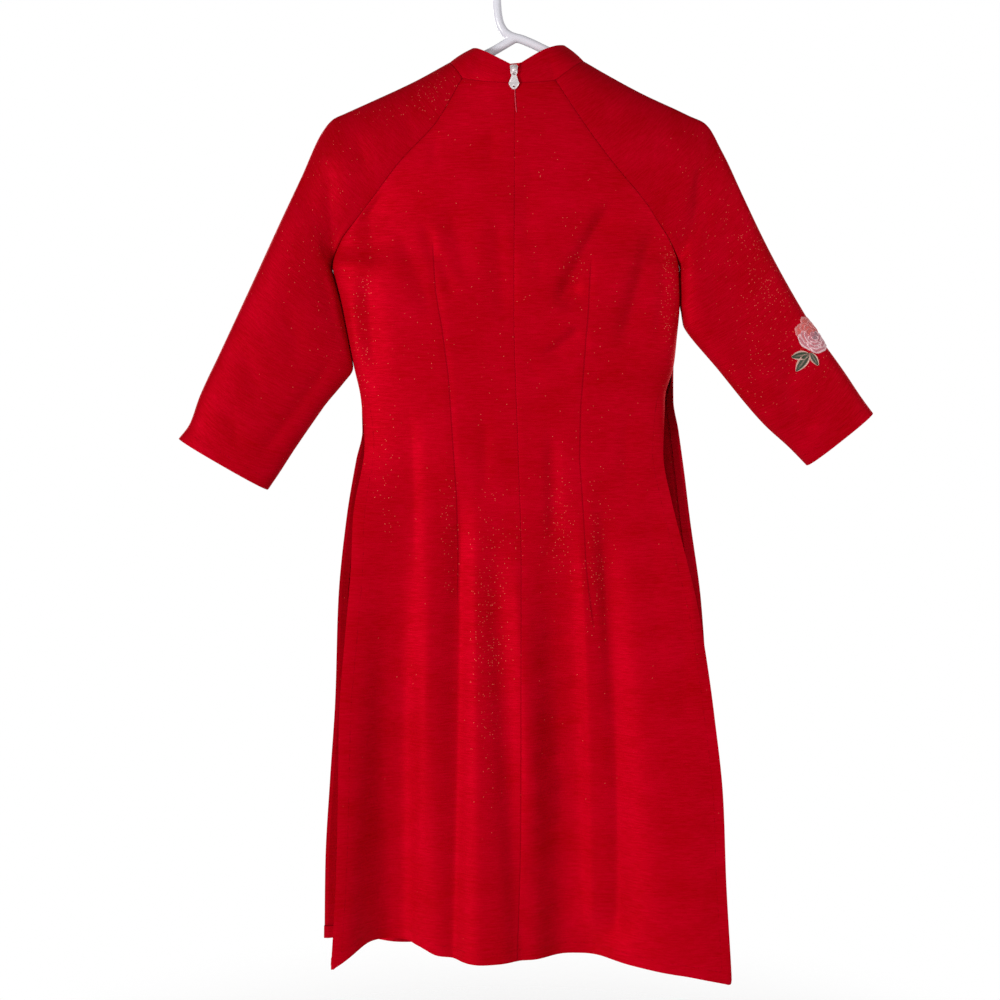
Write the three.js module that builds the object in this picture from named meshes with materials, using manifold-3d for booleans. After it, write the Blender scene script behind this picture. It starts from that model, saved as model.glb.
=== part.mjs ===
// A red ao dai on a hanger: knee length, raglan three-quarter sleeves, a stand collar that is open at the
// centre back, a long back zip and side slits from the waist, hung by its shoulders on a tubular hanger.
// Millimetres, +Z up. The back faces +Y and the front faces -Y, so the wearer's left is +X.
// The origin is where the rod carries the hook.
import * as THREE from "three";
import { mergeVertices } from "three/addons/utils/BufferGeometryUtils.js";
import Module from "manifold-3d";

const wasm = await Module();
wasm.setup();

// ---------------------------------------------------------------- driving sizes

const CLOTH = 1.5; // wall of the cloth
const SEAM = 0.3; // gap between two pieces at a seam
const NECK_BACK_DEPTH = 44; // from the hanger's plane to the back of the neck
const NECK_FRONT_DEPTH = 50;
const NECK_HALF_WIDTH = 76;
const NECK_BACK_Z = -156; // neck seam at the centre back
const NECK_FRONT_Z = -205;
const UNDERARM = 5; // sleeve station at the underarm
const CUFF = 11; // sleeve station at the cuff
const ROUND_EDGE = 2.5; // power of the rounded fold at a flattened tube's edge
const ZIP_TAPE_WIDTH = 16;
const ZIP_TOP_Z = -146;
const ZIP_FOOT_Z = -690;
const COLLAR_LEAN = THREE.MathUtils.degToRad(12.5); // at the centre back, towards the front
const TAPE_GAP = 0.8; // from a panel's inner face to the tape
const SLIDER = { x: 4.5, y: 41.2, z: -142.5, width: 7.6, height: 11, thickness: 1.5, lift: 0.4 };
const STEM = { width: 2, height: 5, behind: 0.4 }; // passes between the collar's edges
const BAIL = { width: 2, thickness: 1, reach: 5.8, foot: -4.5, head: 4, corner: 0.8, slope: 1.5 };
const SUNK = 0.5; // how far the slider's joined pieces run into each other
const PULL = {
  pivotY: 45.5,
  pivotZ: -144.4,
  thickness: 1.2,
  length: 19.5,
  halfWidth: 5.8,
  widest: 13.2, // below the pivot, as the next two are
  neck: 4.6,
  rounding: 15.5,
  neckHalf: 2.6,
  barHalf: 3.1,
  barTop: 0.75,
  loopTopHalf: 1.8,
  loopFootHalf: 1.6,
  loopFoot: 4,
  tipHalf: 1.6,
  tipRise: 0.4,
  holeRadius: 1.2,
  holeRise: 3.2, // above the tip
};
const TUBE = 10; // diameter of the hanger's tube
const HOOK_RADIUS = 24; // centre line of the hook
const PATCH_LIFT = 0.6; // from the cloth to the embroidery on it
const PATCH_WALL = 0.6;
const LAYER_STEP = 1; // from one layer of the rose to the next
const LOBE_DEPTH = 0.18; // share of a petal layer's reach that is lost between two lobes
const FOLD_HEM_Z = -1155; // where the large folds have their full depth
const FOLD_START_WIDTH = 0.6; // share of a fold's width where it starts
const SEWN_TO_Z = -470; // the side seams are flat to here, and the slits start just below
const HEM_CORNER_Z = {
  back: { left: -1160, right: -1176 },
  front: { left: -1156, right: -1160 },
};

const COLOURS = {
  cloth: { color: 0xb90016, roughness: 0.55, metalness: 0 },
  tape: { color: 0x8f0010, roughness: 0.8, metalness: 0 },
  metal: { color: 0xd8c8c4, roughness: 0.3, metalness: 0.9 },
  petal: { color: 0xf08a86, roughness: 0.7, metalness: 0 },
  heart: { color: 0xc8607c, roughness: 0.7, metalness: 0 },
  leaf: { color: 0x1f4a2c, roughness: 0.7, metalness: 0 },
  plastic: { color: 0xe4e4f2, roughness: 0.35, metalness: 0 },
};

// A table is a list of rows with named columns.
const table = (columns, rows) =>
  rows.map((row) => Object.fromEntries(columns.map((name, i) => [name, row[i]])));

// Sleeve sections from the neck (station 0) over the shoulder to the cuff (station 11), station 5 at the
// underarm. The ridge is the outer fold. The seam is the raglan seam down to the underarm, and the
// sleeve's inner fold below it. backY and frontY are the depths there, and swell is the half thickness
// of the flattened tube.
const SLEEVE_COLUMNS = [
  "station", "ridgeX", "ridgeZ", "backX", "backZ", "backY", "frontX", "frontZ", "frontY", "swell",
];
const SLEEVE_LEFT = table(SLEEVE_COLUMNS, [
  [0, 76, -127, 61, -148, 27, 56, -163, 28, 0],
  [1, 114, -147, 89, -195, 31, 84, -202, 35, 0],
  [2, 156, -166, 130, -238, 29, 127, -241, 33, 2],
  [3, 193, -182, 166, -283, 22, 165, -284, 25, 6],
  [3.4, 206, -188, 180, -300, 18, 179, -301, 20, 9],
  [4, 219, -203, 198, -323, 11, 198, -323, 12, 13],
  [5, 244, -255, 209, -353, 0, 209, -353, 0, 18],
  [6, 269, -306, 201, -392, 0, 201, -392, 0, 20],
  [7, 295.5, -361, 193.5, -433, 0, 193.5, -433, 0, 21],
  [8, 315.5, -402, 189.5, -463, 0, 189.5, -463, 0, 21],
  [9, 338, -448, 222, -511, 0, 222, -511, 0, 20],
  [10, 362, -497, 255, -558, 0, 255, -558, 0, 19],
  [10.6, 374.5, -529, 273.5, -586, 0, 273.5, -586, 0, 18],
  [11, 387, -545, 286, -604, 0, 286, -604, 0, 17],
]);
const SLEEVE_RIGHT = table(SLEEVE_COLUMNS, [
  [0, -74, -126, -41, -152, 36, -54, -163, 29, 0],
  [1, -105, -143, -71, -195, 33, -78, -202, 34, 0],
  [2, -142, -162, -104, -238, 30, -108, -241, 33, 2],
  [3, -176, -177, -144, -284, 23, -145, -285, 25, 6],
  [3.4, -191, -184, -155, -300, 19, -156, -301, 21, 9],
  [4, -210, -193, -171, -323, 12, -171, -323, 13, 13],
  [5, -229, -223, -183, -353, 0, -183, -353, 0, 18],
  [6, -252, -270, -186, -376, 0, -186, -376, 0, 20],
  [7, -277, -320, -187, -398, 0, -187, -398, 0, 21],
  [8, -299, -360, -188, -416, 0, -188, -416, 0, 21],
  [9, -336, -420, -231, -469.5, 0, -231, -469.5, 0, 20],
  [10, -372, -469, -281.5, -528.5, 0, -281.5, -528.5, 0, 19],
  [10.6, -393, -499, -312, -556, 0, -312, -556, 0, 18],
  [11, -406, -516, -332, -576, 0, -332, -576, 0, 17],
]);

// Side edges of the back and of the front below the underarm: sewn together to the top of the slits at
// the waist, and free below it.
const SIDE_COLUMNS = ["z", "leftX", "leftY", "rightX", "rightY"];
const BACK_SIDES = table(SIDE_COLUMNS, [
  [-353, 209, 0, -183, 0],
  [-392, 199, 0, -184, 0],
  [-433, 191, 0, -181, 0],
  [-463, 186, 0, -178, 0],
  [-501, 178, 3, -167, 4],
  [-558, 174, 6, -163, 7],
  [-615, 179, 8, -173, 8],
  [-684, 183, 14, -189, 10],
  [-775, 192, 22, -209, 12],
  [-867, 201, 28, -224, 18],
  [-960, 205, 33, -235, 22],
  [-1055, 209, 36, -239, 26],
  [-1170, 217, 38, -247, 30],
]);
const FRONT_SIDES = table(SIDE_COLUMNS, [
  [-353, 209, 0, -183, 0],
  [-392, 199, 0, -184, 0],
  [-433, 191, 0, -181, 0],
  [-463, 186, 0, -178, 0],
  [-501, 178, 4, -179, 5],
  [-536, 178, 9, -187, 10],
  [-571, 186, 14, -193, 14],
  [-642, 199, 20, -203, 20],
  [-737, 210, 26, -217, 26],
  [-859, 216, 32, -228, 32],
  [-958, 224, 36, -235, 36],
  [-1058, 231, 38, -241, 38],
  [-1170, 234, 40, -246, 40],
]);

// Sections of the body: the depth of the back and of the front at the centre, and the two powers of the
// section's curve: it is open towards the raglan seams, a flattened tube at the side seams and open again
// below the slits.
const BODY_SECTIONS = table(["z", "back", "front", "bend", "edge"], [
  [-120, 44, 46, 2, 1],
  [-160, 44, 48, 2, 1],
  [-205, 46, 50, 2, 1],
  [-283, 45, 56, 2, 1],
  [-323, 44, 57, 2.2, 0.75],
  [-353, 42, 54, 2.5, 0.4],
  [-430, 37, 45, 2.5, 0.4],
  [-463, 35, 41, 2.5, 0.45],
  [-518, 33, 37, 2.6, 0.7],
  [-600, 34, 36, 2.8, 1],
  [-1180, 34, 38, 3, 1],
]);

// The large folds of the hanging skirt: where each starts, where it meets the hem, and its depth and half
// width there. A negative depth is a trough.
const FOLD_COLUMNS = ["startX", "startZ", "hemX", "depth", "width"];
const BACK_FOLDS = table(FOLD_COLUMNS, [
  [141, -590, 143, -34, 46],
  [52, -540, 40, 12, 40],
  [-50, -530, -76, -27, 40],
  [-150, -620, -178, 11, 52],
]);
const FRONT_FOLDS = table(FOLD_COLUMNS, [
  [120, -600, 128, -20, 44],
  [35, -560, 48, 12, 38],
  [-40, -560, -45, -20, 42],
  [-130, -600, -140, 12, 44],
]);

// The hem, by its place across the back and across the front.
const BACK_HEM = table(["x", "z"], [
  [-247, -1176],
  [-189, -1163],
  [-93, -1155],
  [54, -1153.5],
  [92, -1150],
  [112, -1141],
  [133, -1137],
  [173, -1135],
  [217, -1160],
]);
const FRONT_HEM = table(["x", "z"], [
  [-246, -1160],
  [0, -1150],
  [234, -1156],
]);

// The centre-back seam wanders a little off the middle.
const CENTRE_BACK = table(["z", "x"], [
  [-150, 3.4],
  [-400, 4],
  [-560, -1],
  [-680, -4.5],
  [-1000, -4.5],
  [-1180, 0],
]);

// The collar's top edge, by the angle round the neck from the centre back, left side first.
const COLLAR_TOP = table(["angle", "x", "y", "z"], [
  [0, 8.2, 39.5, -135.5],
  [30, 31, 33, -123],
  [60, 46, 16, -114],
  [90, 51, -2, -111.5],
  [120, 45, -22, -132],
  [150, 26, -37, -160],
  [180, -1, -43, -172],
  [210, -28, -37, -160],
  [240, -47, -22, -131],
  [270, -53, -2, -108.5],
  [300, -46, 17, -111],
  [330, -28, 33, -119],
  [360, -0.8, 39.5, -135.5],
]);

// ---------------------------------------------------------------- small helpers

const clamp01 = (t) => Math.min(1, Math.max(0, t));
const mix = (a, b, t) => a + (b - a) * t;
const step = (a, b, t) => {
  const u = clamp01((t - a) / (b - a));
  return u * u * (3 - 2 * u);
};

// A smooth curve through one column of a table, with no overshoot between its rows.
function curveOf(rows, key, column) {
  const sign = rows[rows.length - 1][key] > rows[0][key] ? 1 : -1;
  const at = rows.map((row) => sign * row[key]);
  const value = rows.map((row) => row[column]);
  const slope = at.slice(1).map((x, i) => (value[i + 1] - value[i]) / (x - at[i]));
  const tangent = value.map((_, i) => {
    const before = slope[Math.max(0, i - 1)];
    const after = slope[Math.min(slope.length - 1, i)];
    return before * after <= 0 ? 0 : (2 * before * after) / (before + after);
  });
  return (place) => {
    const x = Math.min(at[at.length - 1], Math.max(at[0], sign * place));
    let i = 0;
    while (i < slope.length - 1 && x > at[i + 1]) i++;
    const h = at[i + 1] - at[i];
    const u = (x - at[i]) / h;
    const v = 1 - u;
    return (
      value[i] * (1 + 2 * u) * v * v +
      value[i + 1] * u * u * (1 + 2 * v) +
      h * (tangent[i] * u * v * v - tangent[i + 1] * u * u * v)
    );
  };
}

// All columns of a table as curves over its key column.
const curvesOf = (rows, key) =>
  Object.fromEntries(Object.keys(rows[0]).map((column) => [column, curveOf(rows, key, column)]));

// Places from 0 to 1 that crowd at both ends, where a flattened tube turns round its fold.
const crowded = (count) =>
  Array.from({ length: count + 1 }, (_, i) => (1 - Math.cos((Math.PI * i) / count)) / 2);

// Shares from a panel's centre line (0) to its side edge (1), drawn closer together at the edge by `pull`.
const towardsEdge = (count, pull) =>
  Array.from({ length: count + 1 }, (_, j) => mix(j / count, Math.sin((Math.PI / 2) * (j / count)), pull));

const material = (finish) => new THREE.MeshStandardMaterial(finish);

const group = new THREE.Group();

function addMesh(name, geometry, finish) {
  const mesh = new THREE.Mesh(geometry, material(finish));
  mesh.name = name;
  group.add(mesh);
  return mesh;
}

// A closed wall from a grid of face points and the matching grid of points behind them.
function closedWall(face, behind) {
  const rows = face.length;
  const columns = face[0].length;
  const positions = [...face.flat(), ...behind.flat()].flatMap((p) => [p.x, p.y, p.z]);
  const under = rows * columns;
  const index = (i, j) => i * columns + j;
  const triangles = [];
  const quad = (a, b, c, d) => triangles.push(a, b, c, a, c, d);
  for (let i = 0; i < rows - 1; i++) {
    for (let j = 0; j < columns - 1; j++) {
      const corners = [index(i, j), index(i + 1, j), index(i + 1, j + 1), index(i, j + 1)];
      quad(...corners);
      quad(...corners.reverse().map((k) => k + under));
    }
  }
  const rim = [];
  for (let j = 0; j < columns - 1; j++) rim.push(index(0, j));
  for (let i = 0; i < rows - 1; i++) rim.push(index(i, columns - 1));
  for (let j = columns - 1; j > 0; j--) rim.push(index(rows - 1, j));
  for (let i = rows - 1; i > 0; i--) rim.push(index(i, 0));
  rim.forEach((k, n) => {
    const next = rim[(n + 1) % rim.length];
    quad(k, next, next + under, k + under);
  });
  const geometry = new THREE.BufferGeometry();
  geometry.setAttribute("position", new THREE.Float32BufferAttribute(positions, 3));
  geometry.setIndex(triangles);
  return geometry;
}

// Unit normals of a grid of points, on the side that faces `towards` at the middle of the first column.
function gridNormals(face, towards) {
  const rows = face.length;
  const columns = face[0].length;
  const normals = face.map((row, i) =>
    row.map((_, j) => {
      const along = face[Math.min(rows - 1, i + 1)][j].clone().sub(face[Math.max(0, i - 1)][j]);
      const across = row[Math.min(columns - 1, j + 1)].clone().sub(row[Math.max(0, j - 1)]);
      return along.cross(across).normalize();
    }),
  );
  if (normals[Math.floor(rows / 2)][0].dot(towards) < 0) normals.flat().forEach((n) => n.negate());
  return normals;
}

// A piece of cloth: its face points, its wall behind them, and the mesh. `square` may replace the normal
// at an edge, so that two pieces meet there wall to wall.
function clothPiece(name, face, towards, square, finish = COLOURS.cloth) {
  const normals = gridNormals(face, towards);
  if (square) face.forEach((row, i) => row.forEach((p, j) => square(normals[i][j], i, j)));
  const behind = face.map((row, i) => row.map((p, j) => p.clone().addScaledVector(normals[i][j], -CLOTH)));
  const outward = normals[0][0].dot(wallDirection(face)) > 0;
  const wall = outward ? closedWall(face, behind) : closedWall(flipped(face), flipped(behind));
  addMesh(name, wall, finish);
  return { face, behind, normals };
}

const flipped = (grid) => grid.map((row) => [...row].reverse());

// The way that closedWall's first face points.
function wallDirection(face) {
  const down = face[1][0].clone().sub(face[0][0]);
  const across = face[0][1].clone().sub(face[0][0]);
  return down.cross(across);
}

// ---------------------------------------------------------------- sleeves

// One sleeve as curves over its stations, with its points as a function of station and place: -1 at the
// back seam, 0 on the ridge and 1 at the front seam.
function makeSleeve(rows) {
  const curves = curvesOf(rows, "station");
  const point = (station, place) => {
    const s = Math.abs(place);
    const side = place <= 0 ? "back" : "front";
    const closed = step(3.5, 6, station);
    const open = Math.sqrt(1 - (1 - s) ** 2);
    const soft = Math.sin(Math.PI * s);
    const tube = (1 - Math.abs(2 * s - 1) ** ROUND_EDGE) ** (1 / ROUND_EDGE);
    const depth = curves[side + "Y"](station) * open + curves.swell(station) * mix(soft, tube, closed);
    return new THREE.Vector3(
      mix(curves.ridgeX(station), curves[side + "X"](station), s),
      side === "back" ? depth : -depth,
      mix(curves.ridgeZ(station), curves[side + "Z"](station), s),
    );
  };
  return { curves, point };
}

const sleeves = { left: makeSleeve(SLEEVE_LEFT), right: makeSleeve(SLEEVE_RIGHT) };

// Stations of the raglan seam, shared by the sleeve and the body, and those of the free tube.
const SEAM_STATIONS = [0, 0.5, 1, 1.5, 2, 2.5, 3, 3.4, 4, 4.5, UNDERARM];
const TUBE_STATIONS = [5.5, 6, 7, 8, 9, 10, 10.6, CUFF];

const INTO_TILT = 0.4; // the way from a raglan seam into its own piece lies mostly sideways
const inPlane = (v) => v.setY(0).normalize();

// At a seam two walls meet squarely: the normal leaves out the slope across the seam. Where the section
// has closed to a fold, it lies in the hanger's plane.
function seamNormal(normal, before, after, folded) {
  if (folded) return inPlane(normal);
  const along = after.clone().sub(before).normalize();
  const across = inPlane(new THREE.Vector3(-along.z, 0, along.x));
  const square = along.cross(across).normalize();
  if (square.dot(normal) < 0) square.negate();
  return normal.copy(square);
}

// Moves a seam's points half the gap into their own piece, in the hanger's plane.
function seamShift(point, before, after, into) {
  const along = after.clone().sub(before);
  const across = inPlane(new THREE.Vector3(-along.z, 0, along.x));
  if (across.dot(into) < 0) across.negate();
  return point.addScaledVector(across, SEAM / 2);
}

function sleevePiece(name, side) {
  const { point } = sleeves[side];
  const outward = side === "left" ? 1 : -1;
  const stations = [...SEAM_STATIONS, ...TUBE_STATIONS];
  const half = crowded(9);
  const places = [...half.map((s) => -s).reverse(), ...half.slice(1)];
  const face = stations.map((station) => places.map((place) => point(station, place)));
  const last = places.length - 1;
  const into = new THREE.Vector3(outward, 0, INTO_TILT);
  const seams = [0, last].map((j) => face.map((row) => row[j].clone()));
  const around = (seam, i) => [seam[Math.max(0, i - 1)], seam[Math.min(seam.length - 1, i + 1)]];
  [0, last].forEach((j, which) =>
    face.forEach((row, i) => {
      seamShift(row[j], ...around(seams[which], i), into);
      if (stations[i] >= UNDERARM) row[j].y = which === 0 ? SEAM / 2 : -SEAM / 2;
    }),
  );
  const square = (normal, i, j) => {
    if (j !== 0 && j !== last) return;
    seamNormal(normal, ...around(seams[j === 0 ? 0 : 1], i), stations[i] >= UNDERARM);
  };
  return clothPiece(name, face, new THREE.Vector3(0, 1, 0), square);
}

// ---------------------------------------------------------------- body

const centreBack = curveOf(CENTRE_BACK, "z", "x");
const bodySection = curvesOf(BODY_SECTIONS, "z");

function foldDepth(folds, x, z) {
  return folds.reduce((sum, fold) => {
    const down = clamp01((fold.startZ - z) / (fold.startZ - FOLD_HEM_Z));
    const centre = mix(fold.startX, fold.hemX, down);
    const width = mix(FOLD_START_WIDTH, 1, down) * fold.width;
    const bell = Math.exp(-(Math.abs((x - centre) / width) ** 3));
    return sum + fold.depth * step(0, 1, down) ** 0.8 * bell;
  }, 0);
}

// A body panel's depth at the share u from its centre line (0) to its side edge (1).
function panelDepth(side, folds, x, z, u, edgeDepth) {
  const centre = bodySection[side](z);
  const curve = (1 - u ** bodySection.bend(z)) ** bodySection.edge(z);
  return edgeDepth + (centre - edgeDepth) * curve + foldDepth(folds, x, z) * (1 - u ** 6);
}

// Edge of a body panel: the raglan seam's stations, then the side edge down to the hem.
const SIDE_Z = [-372, -392, -433, -463, -501, -536, -571, -620, -684, -760, -840, -920, -1000, -1070, -1125];

function panelEdge(panel, side) {
  const { curves } = sleeves[side];
  const sides = curvesOf(panel === "back" ? BACK_SIDES : FRONT_SIDES, "z");
  const raglan = SEAM_STATIONS.map((station) => ({
    x: curves[panel + "X"](station),
    z: curves[panel + "Z"](station),
    depth: curves[panel + "Y"](station),
    folded: station >= UNDERARM,
  }));
  const lower = [...SIDE_Z, HEM_CORNER_Z[panel][side]].map((z) => ({
    x: sides[side + "X"](z),
    z,
    depth: sides[side + "Y"](z),
    folded: z >= SEWN_TO_Z,
  }));
  return [...raglan, ...lower];
}

const backHem = curveOf(BACK_HEM, "x", "z");
const frontHem = curveOf(FRONT_HEM, "x", "z");

// Squares and shifts one edge column of a body panel.
function dressEdge(face, edge, j, into, facing) {
  const seam = face.map((row) => row[j].clone());
  const around = (i) => [seam[Math.max(0, i - 1)], seam[Math.min(seam.length - 1, i + 1)]];
  face.forEach((row, i) => {
    if (i < SEAM_STATIONS.length) seamShift(row[j], ...around(i), into);
    if (edge[i].folded) row[j].y = (facing * SEAM) / 2;
  });
  return (normal, i) => {
    if (i < SEAM_STATIONS.length || edge[i].folded) seamNormal(normal, ...around(i), edge[i].folded);
  };
}

function backPiece(name, side) {
  const outward = side === "left" ? 1 : -1;
  const edge = panelEdge("back", side);
  const shares = towardsEdge(12, 0.35);
  const top = edge[0].z;
  const bottom = edge[edge.length - 1].z;
  const face = edge.map((rim) => {
    const down = (rim.z - top) / (bottom - top);
    return shares.map((u) => {
      const hem = backHem(mix(0, edge[edge.length - 1].x, u));
      const neck = mix(NECK_BACK_Z, top, u ** 2);
      const z = u === 1 ? rim.z : mix(neck, hem, down);
      const centre = centreBack(z) + (outward * SEAM) / 2;
      const x = mix(centre, rim.x, u);
      return new THREE.Vector3(x, panelDepth("back", BACK_FOLDS, x, z, u, rim.depth), z);
    });
  });
  const into = new THREE.Vector3(-outward, 0, -INTO_TILT);
  const last = shares.length - 1;
  const squareEdge = dressEdge(face, edge, last, into, 1);
  const square = (normal, i, j) => {
    if (j === 0) normal.setX(0).normalize();
    if (j === last) squareEdge(normal, i);
  };
  return clothPiece(name, face, new THREE.Vector3(0, 1, 0), square);
}

function frontPiece(name) {
  const edges = { left: panelEdge("front", "left"), right: panelEdge("front", "right") };
  const shares = towardsEdge(9, 0.45);
  const across = [...shares.map((u) => -u).reverse(), ...shares.slice(1)];
  const face = edges.left.map((_, i) =>
    across.map((place) => {
      const side = place < 0 ? "right" : "left";
      const edge = edges[side];
      const u = Math.abs(place);
      const rim = edge[i];
      const top = edge[0].z;
      const bottom = edge[edge.length - 1].z;
      const down = (rim.z - top) / (bottom - top);
      const hem = frontHem(mix(0, edge[edge.length - 1].x, u));
      const neck = mix(NECK_FRONT_Z, top, u ** 1.8);
      const z = u === 1 ? rim.z : mix(neck, hem, down);
      const x = mix(0, rim.x, u);
      return new THREE.Vector3(x, -panelDepth("front", FRONT_FOLDS, x, z, u, rim.depth), z);
    }),
  );
  const last = across.length - 1;
  const squares = {
    [last]: dressEdge(face, edges.left, last, new THREE.Vector3(-1, 0, -INTO_TILT), -1),
    0: dressEdge(face, edges.right, 0, new THREE.Vector3(1, 0, -INTO_TILT), -1),
  };
  const square = (normal, i, j) => squares[j]?.(normal, i);
  return clothPiece(name, face, new THREE.Vector3(0, -1, 0), square);
}

const backLeft = backPiece("back_left", "left");
const backRight = backPiece("back_right", "right");
const front = frontPiece("front");
const sleeveLeft = sleevePiece("sleeve_left", "left");
const sleeveRight = sleevePiece("sleeve_right", "right");

// ---------------------------------------------------------------- collar

// The neck seam, piece by piece from the centre back round the left side: the top rows of the pieces
// below, each moved up past the gap along its own cloth.
function neckSeam() {
  const rim = (piece, backwards) => {
    const pairs = piece.face[0].map((p, j) => {
      const up = p.clone().sub(piece.face[1][j]).normalize().multiplyScalar(SEAM);
      return { face: p.clone().add(up), behind: piece.behind[0][j].clone().add(up) };
    });
    return backwards ? pairs.reverse() : pairs;
  };
  return [
    ...rim(backLeft),
    ...rim(sleeveLeft).slice(1),
    ...rim(front, true).slice(1),
    ...rim(sleeveRight, true).slice(1),
    ...rim(backRight, true).slice(1),
  ];
}

function collarPiece(name) {
  const seam = neckSeam();
  const top = curvesOf(COLLAR_TOP, "angle");
  const count = seam.length - 1;
  const angles = seam.map(({ face: p }, j) => {
    const depth = p.y > 0 ? NECK_BACK_DEPTH : NECK_FRONT_DEPTH;
    const turn = THREE.MathUtils.radToDeg(Math.atan2(p.x / NECK_HALF_WIDTH, p.y / depth));
    if (j === 0) return 0;
    if (j === count) return 360;
    return turn < 0 ? turn + 360 : turn;
  });
  const bases = seam.map((pair) => pair.face);
  const tops = angles.map((angle) => new THREE.Vector3(top.x(angle), top.y(angle), top.z(angle)));
  const rows = [0, 0.5, 1].map((share) => bases.map((base, j) => base.clone().lerp(tops[j], share)));
  const normals = gridNormals(rows, new THREE.Vector3(0, 1, 0));
  const behind = rows.map((row, i) =>
    row.map((p, j) => (i === 0 ? seam[j].behind : p.clone().addScaledVector(normals[i][j], -CLOTH))),
  );
  const outward = normals[0][0].dot(wallDirection(rows)) > 0;
  const wall = outward ? closedWall(rows, behind) : closedWall(flipped(rows), flipped(behind));
  addMesh(name, wall, COLOURS.cloth);
}

collarPiece("collar");

// ---------------------------------------------------------------- zip

// The tape lies behind the centre-back seam, on the panels' inner side.
function zipTape(name) {
  const count = 20;
  const rows = Array.from({ length: count + 1 }, (_, i) => mix(ZIP_TOP_Z, ZIP_FOOT_Z, i / count));
  const across = [-1, 0, 1].map((share) => (share * ZIP_TAPE_WIDTH) / 2);
  const inset = CLOTH + TAPE_GAP;
  const panelWidth = 60; // of the back panel at the neck
  const face = rows.map((z) =>
    across.map((offset) => {
      const side = offset < 0 ? "right" : "left";
      const neckZ = Math.min(z, NECK_BACK_Z);
      const u = Math.abs(offset) / panelWidth;
      const x = centreBack(z) + offset;
      const lean = Math.max(0, z - NECK_BACK_Z) * Math.tan(COLLAR_LEAN);
      const depth = panelDepth("back", BACK_FOLDS, x, neckZ, u, sleeves[side].curves.backY(0));
      return new THREE.Vector3(x, depth - inset - lean, z);
    }),
  );
  clothPiece(name, face, new THREE.Vector3(0, 1, 0), null, COLOURS.tape);
}

const solidOf = (geometry) => {
  const bare = geometry.clone();
  bare.deleteAttribute("normal");
  bare.deleteAttribute("uv");
  const merged = mergeVertices(bare, 1e-4);
  const vertProperties = merged.attributes.position.array;
  const triVerts = new Uint32Array(merged.index.array);
  return new wasm.Manifold(new wasm.Mesh({ numProp: 3, vertProperties, triVerts }));
};

const geometryOf = (solid) => {
  const mesh = solid.getMesh();
  const geometry = new THREE.BufferGeometry();
  geometry.setAttribute("position", new THREE.BufferAttribute(mesh.vertProperties, 3));
  geometry.setIndex(new THREE.BufferAttribute(mesh.triVerts, 1));
  return geometry;
};

const joined = (geometries) => geometryOf(geometries.map(solidOf).reduce((a, b) => a.add(b)));

const boxAt = (width, depth, height, x, y, z) =>
  new THREE.BoxGeometry(width, depth, height).translate(x, y, z);

// The slider's plate lies on the collar's edges, its stem passes between them to the tape, and its bail
// is a small arch that the pull's top bar sits in. Built upright, then tilted with the collar.
function zipSlider(name) {
  const { width, height, thickness, lift } = SLIDER;
  const front = lift + thickness;
  const back = -CLOTH - STEM.behind;
  const stemHead = lift + SUNK;
  const plate = boxAt(width, thickness, height, 0, lift + thickness / 2, 0);
  const stem = boxAt(STEM.width, stemHead - back, STEM.height, 0, (stemHead + back) / 2, 0);
  const root = front - SUNK;
  const inner = BAIL.reach - BAIL.thickness;
  const half = BAIL.thickness / 2;
  const arch = new THREE.Shape();
  arch.moveTo(root, BAIL.foot - half);
  arch.lineTo(BAIL.reach - BAIL.corner, BAIL.foot - half);
  arch.lineTo(BAIL.reach, BAIL.foot + BAIL.thickness);
  arch.lineTo(BAIL.reach, BAIL.head - BAIL.slope);
  arch.lineTo(root, BAIL.head + half);
  arch.lineTo(root, BAIL.head - BAIL.thickness);
  arch.lineTo(inner, BAIL.head - BAIL.slope - BAIL.thickness);
  arch.lineTo(inner, BAIL.foot + half);
  arch.lineTo(root, BAIL.foot + half);
  arch.closePath();
  const strap = new THREE.ExtrudeGeometry(arch, { depth: BAIL.width, bevelEnabled: false });
  // The shape's x is the way out (+Y) and its y is up (+Z).
  strap.translate(0, 0, -BAIL.width / 2);
  strap.applyMatrix4(new THREE.Matrix4().makeBasis(
    new THREE.Vector3(0, 1, 0),
    new THREE.Vector3(0, 0, 1),
    new THREE.Vector3(1, 0, 0),
  ));
  const mesh = addMesh(name, joined([plate, stem, strap]), COLOURS.metal);
  mesh.position.set(SLIDER.x, SLIDER.y, SLIDER.z);
  mesh.rotation.x = COLLAR_LEAN;
}

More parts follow.
